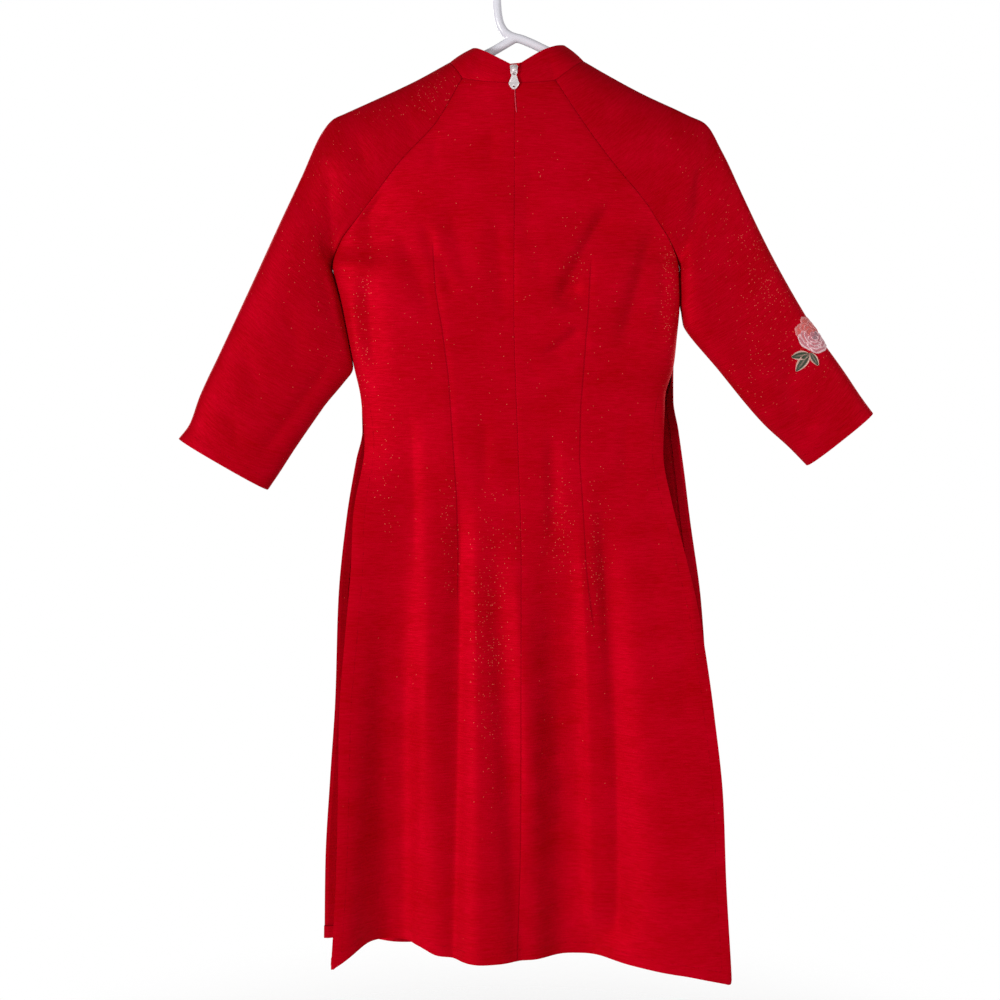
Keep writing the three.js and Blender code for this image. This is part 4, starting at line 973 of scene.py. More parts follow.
def silk_material(name, bright, dark):
    made, nodes, links, shader = new_material(name)
    tree = made.node_tree
    weave_map = node(nodes, "ShaderNodeUVMap", uv_map="weave").outputs[0]
    weave = placed_group(tree, SLUB_WEAVE)
    flecks_and_glints = placed_group(tree, FLECKS_AND_GLINTS)
    links.new(weave_map, weave.inputs["Vector"])
    links.new(weave_map, flecks_and_glints.inputs["Vector"])
    links.new(attribute(tree, "glitter"), flecks_and_glints.inputs["Zone"])
    slub = weave.outputs["Slub"]
    tone = maths(tree, "ADD", maths(tree, "MULTIPLY", slub, 0.55),
                 ranged(tree, weave.outputs["Shade"], 0.3, 0.7, 0.0, 0.45), clamp=True)
    cloth = blended(tree, tone, dark, bright)
    # The seam line, the dart line and the stitch pricks below are painted shade, mixed into the base colour.
    seam = attribute(tree, "seam")
    line = ranged(tree, seam, *SEAM_SPAN, 1.0, 0.0)
    cloth = blended(tree, maths(tree, "MULTIPLY", line, SEAM_STRENGTH), cloth, PAINTED_GROOVE_SHADE)
    dart = ranged(tree, maths(tree, "ABSOLUTE", attribute(tree, "dart")), *DART_SPAN, 1.0, 0.0)
    dart = maths(tree, "MULTIPLY", dart, attribute(tree, "dart_drawn"))
    cloth = blended(tree, maths(tree, "MULTIPLY", dart, DART_STRENGTH), cloth, PAINTED_GROOVE_SHADE)
    from_stitches = maths(tree, "ABSOLUTE", maths(tree, "SUBTRACT", attribute(tree, "hem"), STITCH_LINE))
    stitches = ranged(tree, from_stitches, 0.2, STITCH_REACH, 1.0, 0.0)
    prick = ranged(tree, stretched_noise(tree, weave_map, (260, 260)), 0.45, 0.62)
    stitches = maths(tree, "MULTIPLY", stitches, prick)
    cloth = blended(tree, maths(tree, "MULTIPLY", stitches, STITCH_STRENGTH), cloth, PAINTED_GROOVE_SHADE)
    # Painted glints: the gold flecks are mixed into the base colour, densest in the zones that glitter.
    mask = flecks_and_glints.outputs["Mask"]
    links.new(blended(tree, mask, cloth, FLECK_GOLD_AND_GLINT), shader.inputs["Base Color"])
    shader.inputs["Metallic"].default_value = 0.2
    links.new(ranged(tree, slub, 0.0, 1.0, 0.60, 0.54), shader.inputs["Roughness"])
    shader.inputs["Specular IOR Level"].default_value = 0.06
    shader.inputs["Specular Tint"].default_value = (1.0, 0.08, 0.34, 1)
    groove = maths(tree, "MULTIPLY", maths(tree, "MAXIMUM", line, dart), GROOVE_HEIGHT)
    height = maths(tree, "ADD", maths(tree, "ADD", weave.outputs["Height"], groove),
                   maths(tree, "MULTIPLY", stitches, STITCH_HEIGHT))
    ripple = stretched_noise(tree, weave_map, (60, 90), 3.0)
    height = maths(tree, "ADD", height, maths(tree, "MULTIPLY", ripple, RIPPLE_HEIGHT))
    bump = node(nodes, "ShaderNodeBump", inputs={"Strength": 0.4, "Distance": 0.0004})
    links.new(height, bump.inputs["Height"])
    links.new(bump.outputs[0], shader.inputs["Normal"])
    return made


SILK = silk_material("red_shantung", SILK_BRIGHT, SILK_DARK)
# Painted shade: the sleeves get a darker copy of the silk, which stands in for the less light that their cross grain
# sends back.
SLEEVE_PAINTED_SHADE = 0.90  # the sleeves are cut on another grain, which sends less light back
SLEEVE_SHADED_SILK = silk_material(
    "red_shantung_sleeve_shaded", *[(*(SLEEVE_PAINTED_SHADE * value for value in tone[:3]), 1) for tone in (SILK_BRIGHT, SILK_DARK)]
)
print("silk material has", len(SILK.node_tree.nodes), "nodes")

# %% [markdown]
# ## The back
# The back is two panels that meet in a seam down the middle, with the zip in its upper half. Each panel is
# one sheet with one long waist dart: the grid is bent by the crease table, dipped at its seams and its dart,
# and turned under at the hem and along the slit.

# %% Dress a body panel
SLIT_TOP_Z = -470
SLIT_BLEND = 30
NO_LINE = 60.0  # stands for a place that is far from every line
DART_DIP = 0.8
DART_DIP_REACH = 4.0
SEAM_SHIFT = 0.04  # moves each back panel's edge off the centre seam
SEAM_TURN = 4  # width of a sewn edge
PANEL_ROWS = {"back": (68, 268), "front": (50, 212)}
PANEL_COLUMNS = {"back": 78, "front": 56}
FRONT_WEAVE = (1500, 400)  # where the front lies on the bolt of cloth
KEEP_FLAT = 9.0  # creases die out this far from a sewn edge
FACING = {"back": (0, 1, 0), "front": (0, -1, 0)}


def dressed(name, points, weave, towards, sewn, hemmed, creases, darts=None):
    """A grid with all its channels: creases and seam dips in its shape, weave and line distances on it."""
    normal = grid_normals(points, towards)
    x, z = points[..., 0], points[..., 2]
    nearest_seam = np.full(x.shape, NO_LINE)
    fade = np.ones(x.shape)
    dip = np.zeros(x.shape)
    for distance, share, flat in sewn:
        nearest_seam = np.minimum(nearest_seam, distance + NO_LINE * (1 - share))
        dip += SEAM_DIP * np.exp(-((distance / SEAM_DIP_REACH) ** 2)) * share
        if flat:
            fade *= mix(1, smooth(0, KEEP_FLAT, distance), share)
    dart, dart_sided, dart_drawn = dart_lines(darts, x, z)
    dip += DART_DIP * np.exp(-((dart / DART_DIP_REACH) ** 2))
    height = crease_height(creases, x, z) * fade if isinstance(creases, str) else creases * fade
    dip *= np.abs(normal[..., 1])  # a seam that lies on a fold makes no groove
    points = points + normal * (height - dip)[..., None]
    hem = np.full(x.shape, NO_LINE)
    for distance, share in hemmed:
        hem = np.minimum(hem, distance + NO_LINE * (1 - share))
    grid = np.empty((*x.shape, CHANNELS))
    grid[..., PLACE] = points
    grid[..., NORMAL] = grid_normals(points, towards)
    grid[..., WEAVE] = weave
    grid[..., SEAM_LINE] = nearest_seam
    grid[..., DART_LINE], grid[..., DART_DRAWN] = dart_sided, dart_drawn
    grid[..., HEM_LINE] = hem
    grid[..., SPARKLE] = glitter_zone(name, x, z)
    return grid


def slit_share(points, column):
    """1 where the side edge is free, below the slit's top, and 0 where it is sewn, for each row."""
    return smooth(SLIT_TOP_Z, SLIT_TOP_Z - SLIT_BLEND, points[:, column, 2])


def back_panel(name, side, weave_start):
    points, widths = half_panel("back", side, PANEL_ROWS["back"], PANEL_COLUMNS["back"])
    points[:, 0, 0] += SEAM_SHIFT * SIGN[side]
    across, down = run_from(points, 1, False), run_from(points, 0, False)
    free = slit_share(points, -1)
    weave = np.stack([SIGN[side] * across + weave_start, points[..., 2]], axis=-1)
    one = np.ones_like(across)
    sewn = [
        (across, one, False),
        (run_from(points, 1, True), one * (1 - free[:, None]), True),
        (down, one, True),
    ]
    hemmed = [(run_from(points, 0, True), one), (run_from(points, 1, True), one * free[:, None])]
    grid = dressed("back", points, weave, FACING["back"], sewn, hemmed, "back", "back")
    grid[:, 0, 0] = points[:, 0, 0]  # both panels keep to one seam line
    top_row = grid[0, :, PLACE].copy()
    grid = add_edges(grid, [
        ("first", 0, SEAM_TURN), ("last", free, HEM_WIDTH["slit"]),
        ("start", 0, SEAM_TURN), ("end", 1, HEM_WIDTH["skirt"]),
    ])
    piece = cloth_mesh(name, grid, SILK, FACING["back"])
    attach(piece, GARMENT)
    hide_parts(name)
    return top_row


neck_rows = {
    "back_left": back_panel("back_left", "left", 0.0),
    "back_right": back_panel("back_right", "right", -700.0),
}

# %% [markdown]
# ## The front
# The front is one panel. It hangs a little longer below the neck than the back does, has bust and waist
# darts, and shows past the back's edges at the slits. It is made as two halves that share a centre column.

# %% The front panel


def front_panel(name):
    size = PANEL_ROWS["front"], PANEL_COLUMNS["front"]
    halves = {side: half_panel("front", side, *size)[0] for side in ("left", "right")}
    points = np.concatenate([halves["right"][:, ::-1], halves["left"][:, 1:]], axis=1)
    from_right, from_left = run_from(points, 1, False), run_from(points, 1, True)
    middle = points.shape[1] // 2
    across = from_right - from_right[:, middle : middle + 1]
    one = np.ones_like(across)
    free = {"right": slit_share(points, 0), "left": slit_share(points, -1)}
    weave = np.stack([across + FRONT_WEAVE[0], points[..., 2] + FRONT_WEAVE[1]], axis=-1)
    sewn = [
        (from_right, one * (1 - free["right"][:, None]), True),
        (from_left, one * (1 - free["left"][:, None]), True),
        (run_from(points, 0, False), one, True),
    ]
    hemmed = [
        (run_from(points, 0, True), one),
        (from_right, one * free["right"][:, None]),
        (from_left, one * free["left"][:, None]),
    ]
    grid = dressed("front", points, weave, FACING["front"], sewn, hemmed, "front", "front")
    top_row = grid[0, :, PLACE].copy()
    grid = add_edges(grid, [
        ("first", free["right"], HEM_WIDTH["slit"]), ("last", free["left"], HEM_WIDTH["slit"]),
        ("start", 0, SEAM_TURN), ("end", 1, HEM_WIDTH["skirt"]),
    ])
    piece = cloth_mesh(name, grid, SILK, FACING["front"])
    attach(piece, GARMENT)
    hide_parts(name)
    return top_row


neck_rows["front"] = front_panel("front")

# %% [markdown]
# ## The sleeves
# Each raglan sleeve runs from the neck to the cuff in one piece. Pressed flat on its hanger it is a thin
# tube: its ridge is the outer fold, and its seam closes it underneath. Both halves are made from the ridge
# outwards and joined there, so that the fold's own line is a column of the grid.

# %% Sleeves
SLEEVE_ROWS = 150
SLEEVE_HALF_COLUMNS = 40
EVEN_STATIONS = 300  # finer than the rows, so that they can be read off it
FINE_PLACES, FINE_STATIONS = 400, 1200


def sleeve_grid(side):
    stations = np.interp(
        np.linspace(0, 1, SLEEVE_ROWS + 1),
        np.linspace(0, 1, EVEN_STATIONS),
        even_stations(side),
    )[:, None]
    halves = {}
    for half, sign in (("back", -1), ("front", 1)):
        places = sign * crowded(FINE_PLACES)[None, :]
        places = np.where(places == 0, 1e-9 * sign, places)
        halves[half] = evenly(sleeve_point(side, stations, places), SLEEVE_HALF_COLUMNS)[0]
    points = np.concatenate([halves["back"][:, ::-1], halves["front"][:, 1:]], axis=1)
    return points


def even_stations(side):
    """Stations at even steps along the sleeve, half way between its ridge and its seam."""
    dense = np.linspace(0, CUFF_STATION, FINE_STATIONS)
    middle = sleeve_point(side, dense, np.full(dense.shape, -0.5))
    run = np.concatenate([[0], np.cumsum(np.linalg.norm(np.diff(middle[:, [0, 2]], axis=0), axis=1))])
    return np.interp(np.linspace(0, run[-1], EVEN_STATIONS), run, dense)


def sleeve(name, side, weave_start):
    points = sleeve_grid(side)
    towards = (0, 1, 0)
    front = np.arange(points.shape[1]) > SLEEVE_HALF_COLUMNS
    from_back, from_front = run_from(points, 1, False), run_from(points, 1, True)
    x, z = points[..., 0], points[..., 2]
    creases = np.where(front[None, :], crease_height(name + "_front", x, z), crease_height(name + "_back", x, z))
    to_ridge = np.abs(from_back - from_back[:, SLEEVE_HALF_COLUMNS : SLEEVE_HALF_COLUMNS + 1])
    creases *= smooth(2, 16, to_ridge)
    one = np.ones_like(from_back)
    down = run_from(points, 0, False)
    weave = np.stack([from_back + weave_start, -down + weave_start], axis=-1)
    sewn = [(from_back, one, True), (from_front, one, True), (down, one, True)]
    hemmed = [(run_from(points, 0, True), one)]
    grid = dressed(name, points, weave, towards, sewn, hemmed, creases)
    top_row = grid[0, :, PLACE].copy()
    sewn_edges = [(edge, 0, SEAM_TURN) for edge in ("first", "last", "start")]
    grid = add_edges(grid, [*sewn_edges, ("end", 1, HEM_WIDTH["cuff"])])
    piece = cloth_mesh(name, grid, SLEEVE_SHADED_SILK, towards)
    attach(piece, GARMENT)
    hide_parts(name)
    return top_row


neck_rows["sleeve_left"] = sleeve("sleeve_left", "left", 2300.0)
neck_rows["sleeve_right"] = sleeve("sleeve_right", "right", 3100.0)

# %% [markdown]
# ## The stand collar
# The collar is a stiff band, two layers thick, that stands on the neck seam and opens at the centre back.
# Its lower edge is the neck seam itself, read from the pieces below. Its upper edge comes from a short table.

# %% Collar
COLLAR_TOP = table(
    "angle x y z",
    (0, 8.2, 39.5, -135.5),
    (30, 31, 33, -123),
    (60, 46, 16, -114),
    (90, 51, -2, -111.5),
    (120, 45, -22, -132),
    (150, 26, -37, -160),
    (180, -1, -43, -172),
    (210, -28, -37, -160),
    (240, -47, -22, -131),
    (270, -53, -2, -108.5),
    (300, -46, 17, -111),
    (330, -28, 33, -119),
    (360, -0.8, 39.5, -135.5),
)
NECK_HALF_WIDTH = 76
NECK_DEPTH = {"back": 44, "front": 50}
COLLAR_ROWS = 14
COLLAR_COLUMNS = 150
COLLAR_CROWN = 0.9  # how far the band rounds out between its edges
COLLAR_SHELL = 1.1


def neck_seam():
    """The neck seam from the centre back, round the left side and the front, and back."""
    ring = [
        neck_rows["back_left"],
        neck_rows["sleeve_left"][1:],
        neck_rows["front"][::-1][1:],
        neck_rows["sleeve_right"][::-1][1:],
        neck_rows["back_right"][::-1][1:],
    ]
    return evenly(np.concatenate(ring)[None], COLLAR_COLUMNS)[0][0]


def collar(name):
    base = neck_seam()
    depth = np.where(base[:, 1] > 0, NECK_DEPTH["back"], NECK_DEPTH["front"])
    angle = np.degrees(np.arctan2(base[:, 0] / NECK_HALF_WIDTH, base[:, 1] / depth)) % 360
    angle[0], angle[-1] = 0, 360
    edge = curves(COLLAR_TOP, "angle")
    top = np.stack([edge["x"](angle), edge["y"](angle), edge["z"](angle)], axis=-1)
    share = np.linspace(0, 1, COLLAR_ROWS + 1)[:, None, None]
    points = mix(top[None], base[None], share)
    normal = grid_normals(points, (0, 1, 0))
    if normal[COLLAR_ROWS // 2, 2] @ np.array([0, 1, 0]) < 0:
        normal = -normal
    points = points + normal * COLLAR_CROWN * np.sin(np.pi * share)
    towards = tuple(normal[COLLAR_ROWS // 2, (COLLAR_COLUMNS + 1) // 3])
    along, down = run_from(points, 1, False), run_from(points, 0, False)
    weave = np.stack([along + 4100, -down], axis=-1)
    one = np.ones_like(along)
    sewn = [(run_from(points, 0, True), one, False)]
    hemmed = [(down, 0 * one)]
    flat = np.zeros_like(along)
    grid = dressed("sleeve_left", points, weave, towards, sewn, hemmed, flat)
    grid = add_edges(grid, [("first", 1, 6), ("last", 1, 6), ("start", 1, 7), ("end", 0, 4)])
    piece = cloth_mesh(name, grid, SILK, towards, COLLAR_SHELL)
    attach(piece, GARMENT)
    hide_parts(name)


collar("collar")

# %% [markdown]
# ## The zip
# The centre back closes with a coil zip. Its two tapes are sewn behind the seam, and its coil is a stiff
# thread wound in flat loops, one on each tape, that mesh with each other. The tape is a sheet. The coils are
# two tubes that follow a flattened spiral.

# %% Zip tape and coils
TAPE_WIDTH = 16
TAPE_TOP_Z, TAPE_FOOT_Z = -146, -690
TAPE_DEPTH = 2.7  # behind the back's face
TAPE_ROWS, TAPE_COLUMNS = 150, 9
TAPE_SPAN = 60
COLLAR_LEAN = math.radians(12.5)
COIL_PITCH = 1.5
COIL = {"shift": 1.0, "reach": 1.5, "depth": 0.7, "radius": 0.28}


def woven_tape_material():
    made, nodes, links, shader = new_material("zip_tape")
    tree = made.node_tree
    weave_map = node(nodes, "ShaderNodeUVMap", uv_map="weave").outputs[0]
    ribs = stretched_noise(tree, weave_map, (300, 1800))
    links.new(blended(tree, ribs, (0.20, 0.0, 0.008, 1), (0.34, 0.002, 0.02, 1)), shader.inputs["Base Color"])
    shader.inputs["Roughness"].default_value = 0.7
    shader.inputs["Specular IOR Level"].default_value = 0.2
    bump = node(nodes, "ShaderNodeBump", inputs={"Strength": 0.5, "Distance": 0.0003})
    links.new(ribs, bump.inputs["Height"])
    links.new(bump.outputs[0], shader.inputs["Normal"])
    return made


def tape_line(z, offset, behind):
    """A point on the tape: so far from its middle, and so far behind the back's face."""
    z, offset = np.broadcast_arrays(np.asarray(z, float), np.asarray(offset, float))
    x = centre_back(z) + offset
    neck_z = np.minimum(z, NECK_Z["back"])
    edge = np.where(offset < 0, SLEEVES["right"]["backY"][0], SLEEVES["left"]["backY"][0])
    y = panel_depth("back", x, neck_z, np.abs(offset) / TAPE_SPAN, edge)
    lean = np.maximum(0, z - NECK_Z["back"]) * math.tan(COLLAR_LEAN)
    y = y + crease_height("back", x, z)
    return np.stack([x, y - behind - lean, z], axis=-1)


def zip_tape(name):
    z = np.linspace(TAPE_TOP_Z, TAPE_FOOT_Z, TAPE_ROWS)[:, None]
    offset = np.linspace(-TAPE_WIDTH / 2, TAPE_WIDTH / 2, TAPE_COLUMNS)[None, :]
    grid = np.zeros((TAPE_ROWS, TAPE_COLUMNS, CHANNELS))
    grid[..., PLACE] = tape_line(z, offset, TAPE_DEPTH)
    grid[..., NORMAL] = grid_normals(grid[..., PLACE], (0, 1, 0))
    grid[..., WEAVE] = np.stack(np.broadcast_arrays(offset, z), axis=-1)
    grid[..., SEAM_LINE] = grid[..., HEM_LINE] = NO_LINE
    piece = cloth_mesh(name, grid, woven_tape_material(), (0, 1, 0), 0.8)
    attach(piece, GARMENT)
    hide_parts(name)


def tube_mesh(name, path, radius, sides, material, closed_ends=True):
    """A round cord along a path of points in millimetres."""
    path = np.asarray(path, float)
    ahead = np.gradient(path, axis=0)
    ahead /= np.linalg.norm(ahead, axis=1, keepdims=True)
    helper = np.array([1.0, 0.13, 0.07])
    across = np.cross(ahead, helper)
    across /= np.linalg.norm(across, axis=1, keepdims=True)
    up = np.cross(ahead, across)
    turn = np.linspace(0, 2 * np.pi, sides, endpoint=False)
    ring = across[:, None] * np.cos(turn)[None, :, None] + up[:, None] * np.sin(turn)[None, :, None]
    radii = np.broadcast_to(np.asarray(radius, float), (len(path),))
    points = path[:, None] + ring * radii[:, None, None]
    index = np.arange(len(path) * sides).reshape(len(path), sides)
    after = np.roll(index, -1, axis=1)
    faces = np.stack([index[:-1], after[:-1], after[1:], index[1:]], axis=-1).reshape(-1, 4).tolist()
    if closed_ends:
        faces += [index[0][::-1].tolist(), index[-1].tolist()]
    mesh = bpy.data.meshes.new(name)
    mesh.from_pydata((points.reshape(-1, 3) * MM).tolist(), [], faces)
    mesh.shade_smooth()
    made = bpy.data.objects.new(name, mesh)
    scene.collection.objects.link(made)
    made.data.materials.append(material)
    return made


def zip_coils():
    turns = (TAPE_TOP_Z - TAPE_FOOT_Z - 10) / COIL_PITCH
    turn = np.linspace(0, 2 * np.pi * turns, int(turns * 8))
    z = TAPE_TOP_Z - 4 - turn / (2 * np.pi) * COIL_PITCH
    nylon, _, _, shader = new_material("zip_coil")
    shader.inputs["Base Color"].default_value = (0.36, 0.004, 0.03, 1)
    shader.inputs["Roughness"].default_value = 0.35
    for name, side in (("zip_coil_left", 1), ("zip_coil_right", -1)):
        path = tape_line(z, 0 * z, TAPE_DEPTH - COIL["depth"])
        path[:, 0] += side * (COIL["shift"] + COIL["reach"] * np.cos(turn + (side < 0) * np.pi))
        path[:, 1] += COIL["depth"] * np.sin(turn) * 0.6
        piece = tube_mesh(name, path, COIL["radius"], 5, nylon)
        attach(piece, GARMENT)


TOP_STITCH = {"top_z": -162, "foot_z": -188, "offset": 0.1, "sway": 2.0, "radius": 0.5}


def top_stitch(name):
    """A row of thicker thread that closes the seam over the zip, just under the pull."""
    share = np.linspace(0, 1, 26)
    z = mix(TOP_STITCH["top_z"], TOP_STITCH["foot_z"], share)
    offset = TOP_STITCH["offset"] - TOP_STITCH["sway"] * share**2
    path = tape_line(z, offset, -0.15)
    path[:, 1] += 0.25 * np.cos(share * 10 * np.pi)
    thread, _, _, shader = new_material("top_stitch_thread")
    shader.inputs["Base Color"].default_value = (0.66, 0.03, 0.06, 1)
    shader.inputs["Roughness"].default_value = 0.55
    piece = tube_mesh(name, path, TOP_STITCH["radius"], 8, thread)
    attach(piece, GARMENT)


zip_tape("zip_tape")
zip_coils()
top_stitch("zip_top_stitch")
print("zip tape, coils and stitches made")

# %% [markdown]
# ## Slider and pull
# The slider is a small casting: a plate with two rounded shoulders, a stem between the two rows of coil, and
# an arch, the bail, that the pull hangs from. It is plated, and its finish is a little uneven, so its
# roughness varies. The parts are simple solids that are bevelled and joined.

# %% Small tools for hard pieces


def select_only(piece):
    bpy.ops.object.select_all(action="DESELECT")
    piece.select_set(True)
    bpy.context.view_layer.objects.active = piece


def apply_modifier(piece, kind, **settings):
    select_only(piece)
    modifier = piece.modifiers.new(kind.lower(), kind)
    for label, value in settings.items():
        setattr(modifier, label, value)
    bpy.ops.object.modifier_apply(modifier=modifier.name)


def bake_place(piece):
    select_only(piece)
    bpy.ops.object.transform_apply(location=True, rotation=True, scale=True)


def join(pieces, name):
    bpy.ops.object.select_all(action="DESELECT")
    for piece in pieces:
        piece.select_set(True)
    bpy.context.view_layer.objects.active = pieces[0]
    bpy.ops.object.join()
    pieces[0].name = name
    pieces[0].data.name = name
    return pieces[0]


def pick(piece, chosen, kind="vertices"):
    """In edit mode, selects the vertices or faces whose centre passes a test."""
    bpy.ops.object.mode_set(mode="EDIT")
    bpy.ops.mesh.select_mode(type="VERT" if kind == "vertices" else "FACE")
    bpy.ops.mesh.select_all(action="DESELECT")
    bpy.ops.object.mode_set(mode="OBJECT")
    parts = piece.data.vertices if kind == "vertices" else piece.data.polygons
    for part in parts:
        place = part.co if kind == "vertices" else part.center
        part.select = bool(chosen(place, part))
    bpy.ops.object.mode_set(mode="EDIT")


def block(name, size, place):
    bpy.ops.object.select_all(action="DESELECT")
    bpy.ops.mesh.primitive_cube_add(size=1, location=[value * MM for value in place])
    piece = bpy.context.object
    piece.name = name
    piece.scale = [value * MM for value in size]
    bake_place(piece)
    return piece


def metal_material():
    made, nodes, links, shader = new_material("plated_zinc")
    tree = made.node_tree
    place = node(nodes, "ShaderNodeTexCoord").outputs["Object"]
    mottle = stretched_noise(tree, place, (420, 420), 4.0)
    fine = stretched_noise(tree, place, (2600, 2600), 2.0)
    links.new(blended(tree, mottle, (0.88, 0.78, 0.79, 1), (1.0, 0.92, 0.93, 1)), shader.inputs["Base Color"])
    links.new(ranged(tree, mottle, 0.3, 0.7, 0.26, 0.42), shader.inputs["Roughness"])
    shader.inputs["Metallic"].default_value = 0.45
    bump = node(nodes, "ShaderNodeBump", inputs={"Strength": 0.25, "Distance": 0.0002})
    links.new(fine, bump.inputs["Height"])
    links.new(bump.outputs[0], shader.inputs["Normal"])
    return made


METAL = metal_material()

# %% Slider
SLIDER_PLACE = (4.5, 41.2, -142.5)
PLATE = {"width": 9.0, "thickness": 1.5, "height": 11, "lift": 0.4, "waist": 0.76}
STEM_SIZE = (2, 3.2, 5)
STEM_MIDDLE_Y = -0.7
BAIL = {"middle_y": 1.35, "middle_z": -0.25, "reach_y": 3.9, "reach_z": 4.0, "thickness": 0.7, "width": 1.5}


def slider_plate():
    middle_y = PLATE["lift"] + PLATE["thickness"] / 2
    plate = block("plate", (PLATE["width"], PLATE["thickness"], PLATE["height"]), (0, middle_y, 0))
    pick(plate, lambda place, part: True)
    bpy.ops.mesh.subdivide(number_cuts=3)
    bpy.ops.object.mode_set(mode="OBJECT")
    for row, share in ((0, PLATE["waist"]), (PLATE["height"] / 2, 0.86), (-PLATE["height"] / 2, 0.62)):
        pick(plate, lambda place, part: abs(place.z / MM - row) < 0.1)
        bpy.ops.transform.resize(value=(share, 1, 1), center_override=(0, middle_y * MM, row * MM))
        bpy.ops.object.mode_set(mode="OBJECT")
    apply_modifier(plate, "SUBSURF", levels=2)
    return plate


def slider_bail():
    bpy.ops.object.select_all(action="DESELECT")
    bpy.ops.mesh.primitive_torus_add(
        major_radius=BAIL["reach_z"] * MM, minor_radius=BAIL["thickness"] * MM,
        major_segments=40, minor_segments=12, rotation=(0, math.pi / 2, 0),
        location=(0, BAIL["middle_y"] * MM, BAIL["middle_z"] * MM),
    )
    bail = bpy.context.object
    bake_place(bail)
    centre = (0, BAIL["middle_y"] * MM, BAIL["middle_z"] * MM)
    pick(bail, lambda place, part: True)
    bpy.ops.transform.resize(
        value=(BAIL["width"] / BAIL["thickness"], BAIL["reach_y"] / BAIL["reach_z"], 1), center_override=centre
    )
    bpy.ops.mesh.select_all(action="SELECT")
    bpy.ops.mesh.bisect(plane_co=centre, plane_no=(0, 1, 0), use_fill=True, clear_inner=True)
    bpy.ops.object.mode_set(mode="OBJECT")
    return bail


def zip_slider(name):
    stem = block("stem", STEM_SIZE, (0, STEM_MIDDLE_Y, 0))
    apply_modifier(stem, "BEVEL", width=0.4 * MM, segments=3)
    piece = join([slider_plate(), slider_bail(), stem], name)
    select_only(piece)
    piece.rotation_euler = (COLLAR_LEAN, 0, 0)
    piece.location = [value * MM for value in SLIDER_PLACE]
    bake_place(piece)
    bpy.ops.object.shade_smooth_by_angle(angle=math.radians(50))
    piece.data.materials.clear()
    piece.data.materials.append(METAL)
    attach(piece, GARMENT)
    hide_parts(name)


zip_slider("zip_slider")

# %% [markdown]
# The pull is stamped from sheet metal. It starts as a flat grid whose rows are scaled to the outline, the
# loop and the round hole are cut out of it, and then it gets its thickness, a sunk face and soft edges.

# %% Pull
PULL_PIVOT = (4.5, 45.5, -144.4)
PULL_THICKNESS = 1.2
PULL_ROWS = [
    # height over the pivot, half width
    (0.75, 2.6), (0.0, 3.1), (-0.75, 3.0), (-4.0, 2.7), (-5.0, 2.75), (-8.0, 3.9), (-11.0, 5.0),
    (-13.2, 5.8), (-16.2, 4.3), (-19.1, 1.8),
]
PULL_LOOP = (-4.0, -0.75)
PULL_HOLE_ROW = 8
PULL_HOLE_RADIUS = 1.8
PULL_STILE = 0.62  # share of the half width inside the loop's two stiles


def zip_pull(name):
    rows = len(PULL_ROWS)
    bpy.ops.object.select_all(action="DESELECT")
    bpy.ops.mesh.primitive_grid_add(
        x_subdivisions=4, y_subdivisions=rows - 1, size=2, rotation=(math.pi / 2, 0, 0)
    )
    piece = bpy.context.object
    bake_place(piece)
    pick(piece, lambda place, part: 0.4 < abs(place.x) < 0.6)
    bpy.ops.transform.resize(value=(2 * PULL_STILE, 1, 1), center_override=(0, 0, 0))
    bpy.ops.object.mode_set(mode="OBJECT")
    for k, (height, half) in enumerate(PULL_ROWS):
        start = 1 - 2 * k / (rows - 1)
        pick(piece, lambda place, part: abs(place.z - start) < 0.01)
        bpy.ops.transform.resize(value=(half * MM, 1, 1), center_override=(0, 0, 0))
        bpy.ops.transform.translate(value=(0, 0, height * MM - start))
        bpy.ops.object.mode_set(mode="OBJECT")
    low, high = (value * MM for value in PULL_LOOP)
    pick(piece, lambda place, part: low < place.z < high and abs(place.x) < 1.6 * MM, "faces")
    bpy.ops.mesh.delete(type="FACE")
    bpy.ops.object.mode_set(mode="OBJECT")
    hole_z = PULL_ROWS[PULL_HOLE_ROW][0] * MM
    pick(piece, lambda place, part: abs(place.x) < 1e-5 and abs(place.z - hole_z) < 1e-5)
    bpy.ops.mesh.bevel(offset=PULL_HOLE_RADIUS * MM, segments=4, affect="VERTICES")
    bpy.ops.object.mode_set(mode="OBJECT")
    reach = 0.75 * PULL_HOLE_RADIUS * MM
    pick(piece, lambda place, part: (place - Vector((0, 0, hole_z))).length < reach, "faces")
    bpy.ops.mesh.delete(type="FACE")
    bpy.ops.object.mode_set(mode="OBJECT")
    apply_modifier(piece, "SOLIDIFY", thickness=PULL_THICKNESS * MM, offset=0)
    for facing in (1, -1):
        foot, head = PULL_ROWS[-3][0] * MM * 0.97, -4.8 * MM
        pick(piece, lambda place, part: part.normal.y * facing > 0.9 and foot < place.z < head, "faces")
        bpy.ops.mesh.inset(thickness=0.8 * MM, depth=-0.25 * MM)
        bpy.ops.object.mode_set(mode="OBJECT")
    apply_modifier(piece, "BEVEL", width=0.18 * MM, segments=2, limit_method="ANGLE", angle_limit=0.6)
    piece.location = [value * MM for value in PULL_PIVOT]
    bake_place(piece)
    bpy.ops.object.shade_smooth_by_angle(angle=math.radians(40))
    piece.name = name
    piece.data.name = name
    piece.data.materials.append(METAL)
    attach(piece, SWINGING)
    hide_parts(name)
    print("pull has", len(piece.data.polygons), "faces")


zip_pull("zip_pull")

# %% [markdown]
# ## The embroidered rose
# The rose is sewn on the right sleeve, over its outer fold, in satin stitch: short threads laid side by side
# from the heart of each petal to its rim, with a pale outline over their ends. Each petal is a low pad on
# the cloth. Petals overlap their neighbours, and the three layers get smaller towards the heart.

